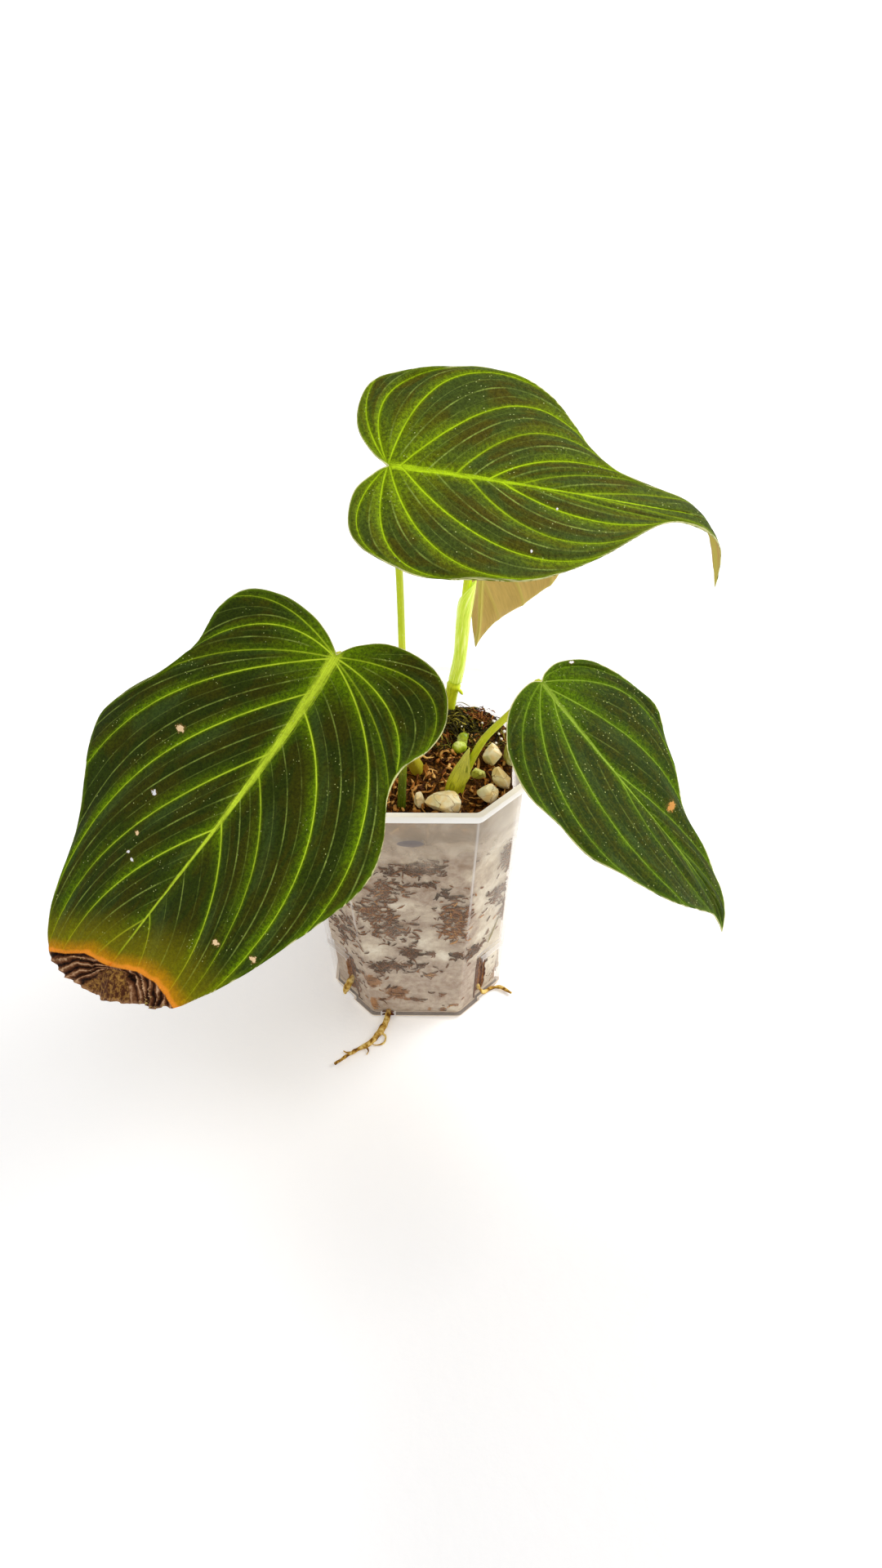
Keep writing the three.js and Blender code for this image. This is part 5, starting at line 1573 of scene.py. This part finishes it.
def shred_on_wall(share, z, tilt, length, width, bow, tone):
    """A flat ragged shred that lies against the inside of the wall."""
    run = np.linspace(-0.5, 0.5, SHRED_STEPS)
    waver = np.cumsum(strewn.normal(0, 0.05 * length, SHRED_STEPS)) * 0.5
    dx = run * length * math.cos(tilt) - (bow * run * run + waver) * math.sin(tilt)
    dz = run * length * math.sin(tilt) + (bow * run * run * length + waver) * math.cos(tilt)
    uneven = strewn.uniform(0.6, 1.3, SHRED_STEPS)
    half = width * 0.5 * (0.25 + np.sin(np.pi * (run + 0.5)) ** 0.6) * uneven
    rings = []
    for k in range(SHRED_STEPS):
        heading = math.atan2(np.gradient(dz)[k], np.gradient(dx)[k])
        px, pz = -math.sin(heading) * half[k], math.cos(heading) * half[k]
        ring = []
        for up, deep in SHRED_SECTION:
            at = share + (dx[k] + up * px) / GIRTH
            level = np.clip(z + dz[k] + up * pz, SHRED_LOW, SHRED_HIGH)
            ring.append(wall_point(np.array([at]), level, -WALL_GAP - deep - 0.14)[0])
        rings.append(np.array(ring))
    return toned(loft(rings), tone)


# %% Strew the shreds
LOOSE_IN_FRONT, LOOSE_BEHIND = 60, 900

shreds = []


def add_shred(around, z, tone, longest, tilt):
    share = around / (GIRTH_AT_FOOT + GIRTH_GROWTH * z)
    shreds.append(shred_on_wall(share, z, strewn.normal(0, tilt),
                                strewn.uniform(1.2, longest), strewn.uniform(0.3, 0.9),
                                strewn.uniform(-1.2, 1.2), tone + strewn.normal(0, 0.16)))


for around_at, z, wide, tall, tone, _, count in BARK_PATCHES:
    for _ in range(count):
        add_shred(around_at + strewn.normal(0, wide * 0.55), z + strewn.normal(0, tall * 0.55),
                  tone, 4.6, 0.7)
for _ in range(LOOSE_IN_FRONT):
    add_shred(strewn.uniform(-22, 46), strewn.uniform(6, 96), 0.45, 3.0, 1.0)
for _ in range(LOOSE_BEHIND):
    share, z = strewn.uniform(0.19, 0.84), strewn.uniform(4, 103)
    crowd = lumps(np.array([[share * GIRTH, z * 1.6, 0]]), 14, 51)[0]
    if crowd > strewn.uniform(-0.5, 0.45):
        add_shred(share * GIRTH, z, 0.4, 5.5, 0.5)
print(len(shreds), "shreds on the wall")


# %% Keep the shreds out of the recesses, and give them their bark
def behind_pockets(points):
    """Moves points that would stand in a corner's recess to the inner side of its wall."""
    x, y, z = points.T
    out = (np.abs(x) + np.abs(y)) / math.sqrt(2)
    furthest = corner_reach(z) - POCKET_DEPTH - WALL_GAP - 0.1
    outside = (z < POCKET_TOP + POT_WALL) & (out > furthest) & ((np.abs(x) - np.abs(y)) > -1.4 * POT_WALL)
    inward = np.where(outside, (out - furthest) / math.sqrt(2), 0)
    return np.stack([x - np.sign(x) * inward, y - np.sign(y) * inward, z], -1)


def bark_finish(name, *stops):
    """A rough finish whose ramp runs over the tone that the points carry."""
    finish = Finish(name, roughness=0.8, specular_ior_level=0.2)
    uneven_tone = finish.drawn("tone") + (finish.grain(1.3, detail=4) - 0.5) * 0.5
    finish.set(base_color=finish.ramp(uneven_tone, *stops))
    finish.bump(finish.grain(0.5), 0.3)
    return finish


pressed_bark = bark_finish("pressed_bark", (0.0, paint(50, 26, 12)), (0.3, paint(94, 54, 28)),
                           (0.6, paint(146, 90, 46)), (0.9, paint(206, 150, 84)))
woody = bark_finish("shredded_bark", (0.0, paint(34, 16, 6)), (0.25, paint(92, 50, 16)),
                    (0.55, paint(168, 106, 40)), (0.9, paint(236, 190, 112)))
frizzy = bark_finish("red_frizz", (0.0, paint(40, 12, 2)), (0.5, paint(104, 50, 12)),
                     (0.95, paint(190, 130, 60)))
points, faces, numbers = joined(shreds)
make_piece("wall_shreds", (behind_pockets(points), faces, numbers), [pressed_bark])

# %% Dark bark behind the drain slots, and dark strands in the front notch that are partly painted shade
slot_parts = []
for signs in CORNER_SIGNS:
    for aside in (0.5, 1.3, 2.1, 2.9, 3.6, 4.3):
        stops = [corner_place(signs, corner_reach(z) - strewn.uniform(3.3, 3.6), aside, z)
                 for z in (4.8, 10, 15, 20, 26.4)]
        part = tube(stops, [(0, 0.6), (0.5, 0.75), (1, 0.5)], 24, 8, rough=0.4, seed=5)
        slot_parts.append(toned(part, strewn.uniform(0.2, 0.7)))
    for deep in (1.9, 2.5, 3.1, 3.7):
        stops = [corner_place(signs, corner_reach(z) - deep, -1.66, z) for z in (3.2, 12, 20, 28)]
        slot_parts.append(toned(tube(stops, [(0, 0.3), (1, 0.3)], 16, 6), 0.45))
# Three dark strands in the front notch: partly roots, partly painted shade where the floor lies in shadow
for y, z in ((-32.4, 0.6), (-32.9, 1.5), (-32.2, 2.4)):
    part = tube([(-13.6, y, z), (-11.5, y + 0.3, z), (-8.8, y, z)], [(0, 0.3), (0.5, 0.55), (1, 0.3)],
                12, 8, rough=0.3, seed=6)
    slot_parts.append(toned(part, 0.3))
make_piece("slot_bark", joined(slot_parts), [frizzy])

# %% Two yellow fibres on the wall
yellow_fibre = bark_finish("yellow_fibre", (0.0, paint(120, 104, 44)), (1.0, paint(184, 170, 90)))
fibres = []
for route in ([(16.9, 103.2), (20, 102.6), (23.8, 101.6)], [(40, 49), (37.5, 42.5), (35, 36.5)]):
    stops = [wall_point(np.array([at / GIRTH]), z, -WALL_GAP - 0.25)[0] for at, z in route]
    fibres.append(tube(stops, [(0, 0.2), (0.5, 0.34), (1, 0.2)], 20, 6, rough=0.1, seed=7))
points, faces, numbers = joined(fibres)
make_piece("wall_fibres", (points, faces, {"tone": numbers["up"]}), [yellow_fibre])

# %% [markdown]
# The top of the fill is a jumble of thin curved shreds and flat chips of bark. A few pieces copied
# many times would be lighter, but the eye soon finds the repeats. Here each piece is drawn on its
# own at a random place, from the seeded generator, so the heap is the same on every run.

# %% One shred and one chip for the top
RIM_MARGIN = 5.0


def inside_rim(x, y):
    corners = octagon(MIX_FRONT, -RIM_MARGIN)
    half, short = corners[1][0], -corners[1][1]
    return abs(x) < half and abs(y) < half and abs(x) + abs(y) < half + short


def strand(x, y, heading, length, radius, arch, lift, tone, steps=8, sides=5):
    """A thin curved shred that lies on the fill or stands out of it."""
    run = np.linspace(-0.5, 0.5, steps)
    bend = strewn.normal(0, 0.5)
    px = x + run * length * math.cos(heading) - bend * run * run * length * math.sin(heading)
    py = y + run * length * math.sin(heading) + bend * run * run * length * math.cos(heading)
    pz = mix_height(px, py) + lift + arch * (0.25 - run * run) + strewn.normal(0, 0.15, steps)
    radii = [(0, radius * 0.3), (0.3, radius), (0.7, radius * 0.8), (1, radius * 0.15)]
    stops = np.column_stack([px, py, pz])
    return toned(tube(stops, radii, steps, sides, flat=strewn.uniform(0.35, 1.0)), tone)


def chip(x, y, size, tone):
    """A flat splinter of bark with uneven corners."""
    count = strewn.integers(5, 8)
    angle = np.sort(strewn.uniform(0, 2 * np.pi, count))
    reach = strewn.uniform(0.6, 1.0, count)
    flat = np.column_stack([np.cos(angle) * reach * size, np.sin(angle) * reach * size * 0.5])
    turn = Matrix.Rotation(strewn.uniform(0, 6.28), 3, "Z") @ Matrix.Rotation(
        strewn.normal(0, 0.6), 3, "X") @ Matrix.Rotation(strewn.normal(0, 0.5), 3, "Y")
    thick = strewn.uniform(0.25, 0.6)
    rings = [np.column_stack([flat * grow, np.full(count, z)]) for z, grow in
             ((-thick, 0.85), (-thick * 0.4, 1.0), (thick * 0.5, 0.97), (thick, 0.8))]
    centre = np.array([x, y, mix_height(x, y) + 0.3])
    return toned(loft([ring @ np.array(turn.transposed()) + centre for ring in rings]), tone)


# %% Strew the top
TOP_COUNT, STRAND_SHARE = 1250, 0.58
STREW_HALF, HIGHEST = 36, 121

parts = []
while len(parts) < TOP_COUNT:
    x, y = strewn.uniform(-STREW_HALF, STREW_HALF, 2)
    if not inside_rim(x, y):
        continue
    kind = strewn.uniform()
    if kind < STRAND_SHARE:
        parts.append(strand(x, y, strewn.uniform(0, 6.28), strewn.uniform(2.0, 6.0),
                            strewn.uniform(0.16, 0.6), strewn.uniform(0, 0.9),
                            strewn.uniform(-0.3, 0.9), strewn.uniform(0.05, 0.95)))
    else:
        parts.append(chip(x, y, strewn.uniform(0.7, 2.3), strewn.uniform(0.05, 0.8)))
top_shreds = joined(parts)
top_shreds[0][:, 2] = np.minimum(top_shreds[0][:, 2], HIGHEST)
make_piece("top_shreds", top_shreds, [woody])

# %% A curl of bark beside the sheath
CURL_PATH = [(11.6, 3.4, 109.4), (11.9, 2.3, 110.6), (12.2, 1.2, 111.8)]

curl = wrap(CURL_PATH, [(0, 1.9, 100, 165), (1, 1.7, 100, 150)], 8, 30, 0.8)
curl[2]["tone"] = 0.62 + 0.25 * lumps(curl[0], 1.2, 77)
make_piece("bark_curl", curl, [woody])

# %% [markdown]
# Moss grows on the mound, with a tuft of red frizz by the wall, a few stems that stand up, and
# bright drops of water. Particle hair would be quick, but doesn't go into the exported model, so
# the same strand as above is used, thinner, steeper and crowded round two centres.

# %% Moss on the mound
mossy = bark_finish("dark_moss", (0.0, paint(18, 14, 2)), (0.4, paint(50, 44, 4)),
                    (0.7, paint(98, 90, 12)), (0.95, paint(184, 172, 70)))


def tuft_piece(name, finish, centre, spread, count, lift, thick, longest):
    """Many short strands round one centre, standing up to lift above the fill."""
    tufts = []
    while len(tufts) < count:
        x, y = centre[0] + strewn.normal(0, spread[0]), centre[1] + strewn.normal(0, spread[1])
        if inside_rim(x, y):
            tufts.append(strand(x, y, strewn.uniform(0, 6.28), strewn.uniform(1.5, longest),
                                strewn.uniform(*thick), strewn.uniform(0.5, 3.0),
                                strewn.uniform(-0.2, lift), strewn.uniform(0.0, 0.9), 6, 4))
    make_piece(name, joined(tufts), [finish])


tuft_piece("moss_tufts", mossy, (15, 19), (9, 7), 950, 3.0, (0.14, 0.45), 7.0)
tuft_piece("red_frizz", frizzy, (24, 19.5), (2.4, 2.0), 170, 5.5, (0.12, 0.35), 4.0)

# %% Fibres that stand up in the moss
# Rows: [x, y, lean, height]
HAIRS = [(6, 22, -0.8, 5), (8.5, 25, -1.6, 7), (12, 26, 0.6, 5.5), (17, 27, 0.9, 4.5),
         (23, 25, -0.6, 4), (29, 20, 0.8, 3.6)]

hairs = []
for x, y, lean, tall in HAIRS:
    level = mix_height(x, y)
    stops = [(x, y, level - 1), (x + lean, y + 0.5, level + tall * 0.6), (x + 1.8 * lean, y, level + tall)]
    hairs.append(toned(tube(stops, [(0, 0.16), (1, 0.07)], 12, 5), 0.25))
make_piece("upright_fibres", joined(hairs), [mossy])

# %% Drops of water on the moss, off-white all through as painted highlights
# Rows: [x, y, radius]
DROPS = [(25.3, 17.3, 0.62), (29.5, 18.4, 0.6), (33.3, 13.9, 0.6), (31.3, 12.5, 0.45),
         (32.2, 10.9, 0.5), (30.2, 8.1, 0.5), (20.1, 20.7, 0.45), (17.8, 12.4, 0.35),
         (25.7, 19.9, 0.4), (21.7, 16.4, 0.32)]
DROP_LIFT = 3


def drop(x, y, radius):
    """A ball without its poles, over the fill."""
    angle = np.linspace(0, 2 * np.pi, 12, endpoint=False)
    rings = []
    for up in np.linspace(-1.3, 1.3, 8):
        out, level = radius * math.cos(up), mix_height(x, y) + DROP_LIFT + radius * math.sin(up)
        rings.append(np.column_stack([x + out * np.cos(angle), y + out * np.sin(angle), np.full(12, level)]))
    return loft(rings)


def speckled(name, size, detail, stops, **sockets):
    """A finish whose colours follow one grain."""
    finish = Finish(name, **sockets)
    finish.set(base_color=finish.ramp(finish.grain(size, detail=detail), *stops))
    return finish


# Painted highlights: the drops are off-white all through, standing for the glints of wet moss
drop_highlight_skin = speckled("bright_drops", 0.7, 3, [(0.35, paint(236, 232, 206)), (0.5, paint(255, 255, 248))],
                     roughness=0.08, specular_ior_level=0.5)
make_piece("water_drop_highlights", joined([drop(*row) for row in DROPS]), [drop_highlight_skin])

# %% [markdown]
# ## Stones
#
# Pumice grit is rounded, cream and a little dusty, with ochre in its cracks. Each stone is a
# finely divided ball, pushed in and out by slow waves, with a few flat sides so that it doesn't
# look like an egg.

# %% A pebble
# Rows: [x, y, z, half width, half depth, half height, turn in degrees]
STONES = {
    "stone_front": (12.7, -21.4, 110.6, 7.5, 4.5, 3.8, 8),
    "stone_front_small": (3.0, -19.6, 110.0, 2.1, 3.2, 2.5, -24),
    "stone_right_top": (28.8, 0.4, 112.4, 3.5, 4.4, 3.8, 12),
    "stone_right_middle": (32.2, -10.2, 110.8, 2.6, 4.8, 4.2, 32),
    "stone_right_low": (26.8, -16.5, 110.8, 3.8, 4.2, 4.0, -15),
    "stone_mossy": (23.7, -7.0, 110.3, 3.1, 2.8, 2.7, 10),
    "stone_at_wall": (34.6, 1.4, 111.6, 1.8, 5.0, 3.6, 4),
    "stone_chip": (31.6, -20.0, 109.2, 1.5, 1.2, 1.0, 0),
}


def pebble(x, y, z, width, depth, tall, turned, seed, sides=12):
    """A lumpy ball with some flat sides."""
    ball = bpy.data.meshes.new("ball")
    drawing = bmesh.new()
    bmesh.ops.create_icosphere(drawing, subdivisions=5, radius=1.0)
    drawing.to_mesh(ball)
    drawing.free()
    unit = np.array([v.co for v in ball.vertices])
    faces = [tuple(p.vertices) for p in ball.polygons]
    bpy.data.meshes.remove(ball)
    facets = np.random.default_rng(seed).normal(0, 1, (sides, 3))
    facets /= np.linalg.norm(facets, axis=1)[:, None]
    cut_depth = np.random.default_rng(seed + 1).uniform(0.5, 0.8, sides)
    for facet, deep in zip(facets, cut_depth):
        unit = unit - 0.9 * np.outer(np.maximum(0, unit @ facet - deep), facet)
    unit = unit * (1.12 + 0.06 * lumps(unit * 5 + seed, 4, seed) + 0.02 * lumps(unit * 5, 0.9, seed))[:, None]
    unit = unit / np.abs(unit).max(axis=0)
    scaled = unit * (width, depth, tall)
    c, s = math.cos(math.radians(turned)), math.sin(math.radians(turned))
    points = scaled @ np.array([[c, s, 0], [-s, c, 0], [0, 0, 1]]) + (x, y, z)
    return points, faces, {"up": unit[:, 2]}


print(len(STONES), "stones")


# %% The finish of the stones
def stone_finish(name, light, mid, dark, moss):
    """Light and mid lie in clouds, dark in the cracks and pits, and moss on the lower part."""
    rock = Finish(name, roughness=0.7, specular_ior_level=0.2)
    cracks = rock.rise(abs(rock.grain(6, detail=2, twist=0.6) - 0.5), 0.016, 0.0)
    base = rock.blend(rock.rise(rock.grain(4.0, detail=3), 0.4, 0.62), mid, light)
    base = rock.blend(rock.rise(rock.grain(7, detail=2), 0.5, 0.66) * 0.6, base, paint(222, 228, 196))
    base = rock.blend(cracks * 0.75, base, dark)
    base = rock.blend(rock.rise(rock.cells(0.9), 0.12, 0.04) * 0.5, base, dark)
    wet = rock.rise(rock.drawn("up") + rock.grain(1.5) * 0.8, 0.3, -0.4)
    base = rock.blend(wet * 0.6, base, moss)
    rock.set(base_color=base)
    rock.bump(rock.grain(0.6, detail=4) - cracks, 0.12)
    return rock


pumice = stone_finish("cream_pumice", paint(255, 246, 214), paint(246, 222, 158), paint(150, 100, 24),
                      paint(150, 120, 50))
green_pumice = stone_finish("mossy_pumice", paint(204, 208, 120), paint(176, 178, 70),
                            paint(104, 112, 20), paint(90, 96, 14))
for seed, (name, row) in enumerate(STONES.items()):
    is_mossy = name in ("stone_mossy", "stone_at_wall")
    make_piece(name.replace("stone", "pebble"), pebble(*row, seed * 7 + 3),
               [green_pumice if is_mossy else pumice], [name])

# %% [markdown]
# ## Small growth: bud, sheath, bracts and roots
#
# Beside the right stalk a fat pale bud of two knobs breaks from the fill, and the stalk's foot
# is wrapped in a wide striped sheath with a free tip. Roots creep out under the foot and through
# the slots. Sculpting would do for such odd shapes, but the pebble, the sheet on a path and the
# rough tube from above make them all from a few numbers.

# %% The bud
BUD_KNOBS = [(18.5, 7.2, 114.0, 2.3, 2.1, 2.9, 0), (17.0, 4.4, 112.8, 2.8, 2.3, 2.3, 20)]

# The palest stop is partly the bud's own pale skin and partly a painted highlight
bud_skin = speckled("pale_bud", 3.6, 2, [(0.34, paint(124, 148, 10)), (0.52, paint(172, 192, 42)),
                                         (0.68, paint(226, 236, 150))],
                    roughness=0.35, specular_ior_level=0.4)
bud_skin.bump(bud_skin.grain(0.8), 0.2)
knobs = [pebble(*knob, 90 + i, 1) for i, knob in enumerate(BUD_KNOBS)]
make_piece("bud_knobs", joined(knobs), [bud_skin], ["bud"])

# %% The striped sheath round the right stalk's foot, and a brown bract on the left stub
SHEATH_PATH = [(14.2, -12.8, 105), (15.8, -12.9, 111.5), (18.2, -13.2, 117.6), (20.0, -13.6, 122.5),
               (22.1, -14.1, 128)]
BRACT_PATH = [(4.4, -3.2, 106.5), (4.8, -3.4, 110), (5.4, -3.9, 113.4)]

striped = stalk_finish("striped_sheath", paint(220, 232, 50), paint(240, 246, 110), paint(124, 140, 4),
                       stripes=11, turn=(0.2, 0.9), bold=0.95)
sheath = wrap(SHEATH_PATH, [(0, 2.5, 200, 165), (0.3, 3.0, 200, 160), (0.55, 3.0, 195, 130),
                            (0.75, 2.6, 190, 100), (0.92, 2.2, 186, 62), (1, 1.9, 182, 26)], 60, 24, 0.35)
make_piece("sheath_striped", sheath, [striped])

bract_skin = stalk_finish("brown_bract", paint(150, 92, 30), paint(206, 140, 64), paint(120, 66, 20))
bract = wrap(BRACT_PATH, [(0, 1.3, 270, 120), (0.6, 1.2, 270, 90), (1, 0.6, 270, 8)], 24, 14)
make_piece("stub_bract", bract, [bract_skin])

# %% Roots
root_skin = speckled("brown_root", 2.2, 4, [(0.36, paint(110, 72, 18)), (0.47, paint(184, 140, 52)),
                                            (0.62, paint(232, 204, 124))],
                     roughness=0.8, specular_ior_level=0.2)
root_skin.bump(root_skin.grain(0.5), 0.3)


def slot_root(signs, rows):
    """Stops of a root through a slot. Rows: [out from the corner, aside from the slot's middle, z]."""
    return [corner_place(signs, corner_reach(z) + out, SLOT_WIDTH / 2 + aside, z)
            for out, aside, z in rows]


ROOT_FRONT = [(-10.8, -27.5, 4.4), (-11, -30.5, 2.4), (-11.6, -34.6, 1.3), (-14, -41, 1.1),
              (-18, -46.2, 1.1), (-24.5, -50.6, 1.1), (-30.9, -55.8, 1.1)]
ROOT_RIGHT = slot_root((1, -1), [(-4.5, 0, 8.5), (-1.6, 0, 6.6), (-0.8, 1.6, 3.2), (-0.9, 6.4, 1.1),
                                 (1.2, 9.4, 1.0), (6.6, 10.5, 1.1)])
ROOT_LEFT = slot_root((-1, -1), [(-4.5, 0, 14), (-0.8, 0, 12), (0.4, 0.5, 9.6), (1.0, 1.4, 6.8),
                                 (1.3, 2.2, 3.8)])
BRANCHES = [
    [(-14, -41, 1.0), (-11.8, -42.6, 0.5), (-12.4, -45.6, 0.45), (-16.2, -46.6, 0.45), (-17.6, -44.6, 0.6)],
    [(-19.5, -47.4, 1.0), (-18.2, -49.4, 0.5), (-18.8, -51, 0.4)],
    [(-24.5, -50.6, 1.0), (-26.8, -50.2, 0.5), (-28, -49.4, 0.4)],
]

for name, stops, radii in (
        ("root_front", ROOT_FRONT, [(0, 1.2), (0.4, 1.25), (0.7, 0.8), (1, 0.4)]),
        ("root_right", ROOT_RIGHT, [(0, 0.7), (0.7, 0.7), (1, 0.55)]),
        ("root_left", ROOT_LEFT, [(0, 1.1), (0.5, 1.4), (0.8, 1.2), (1, 0.7)])):
    root = tube(stops, radii, 60, 14, rough=0.35, seed=len(name))
    make_piece(name.replace("root", "rootlet"), root, [root_skin], [name])
branches = joined([tube(stops, [(0, 0.5), (1, 0.22)], 40, 8, rough=0.12, seed=8) for stops in BRANCHES])
make_piece("rootlet_branches", branches, [root_skin])
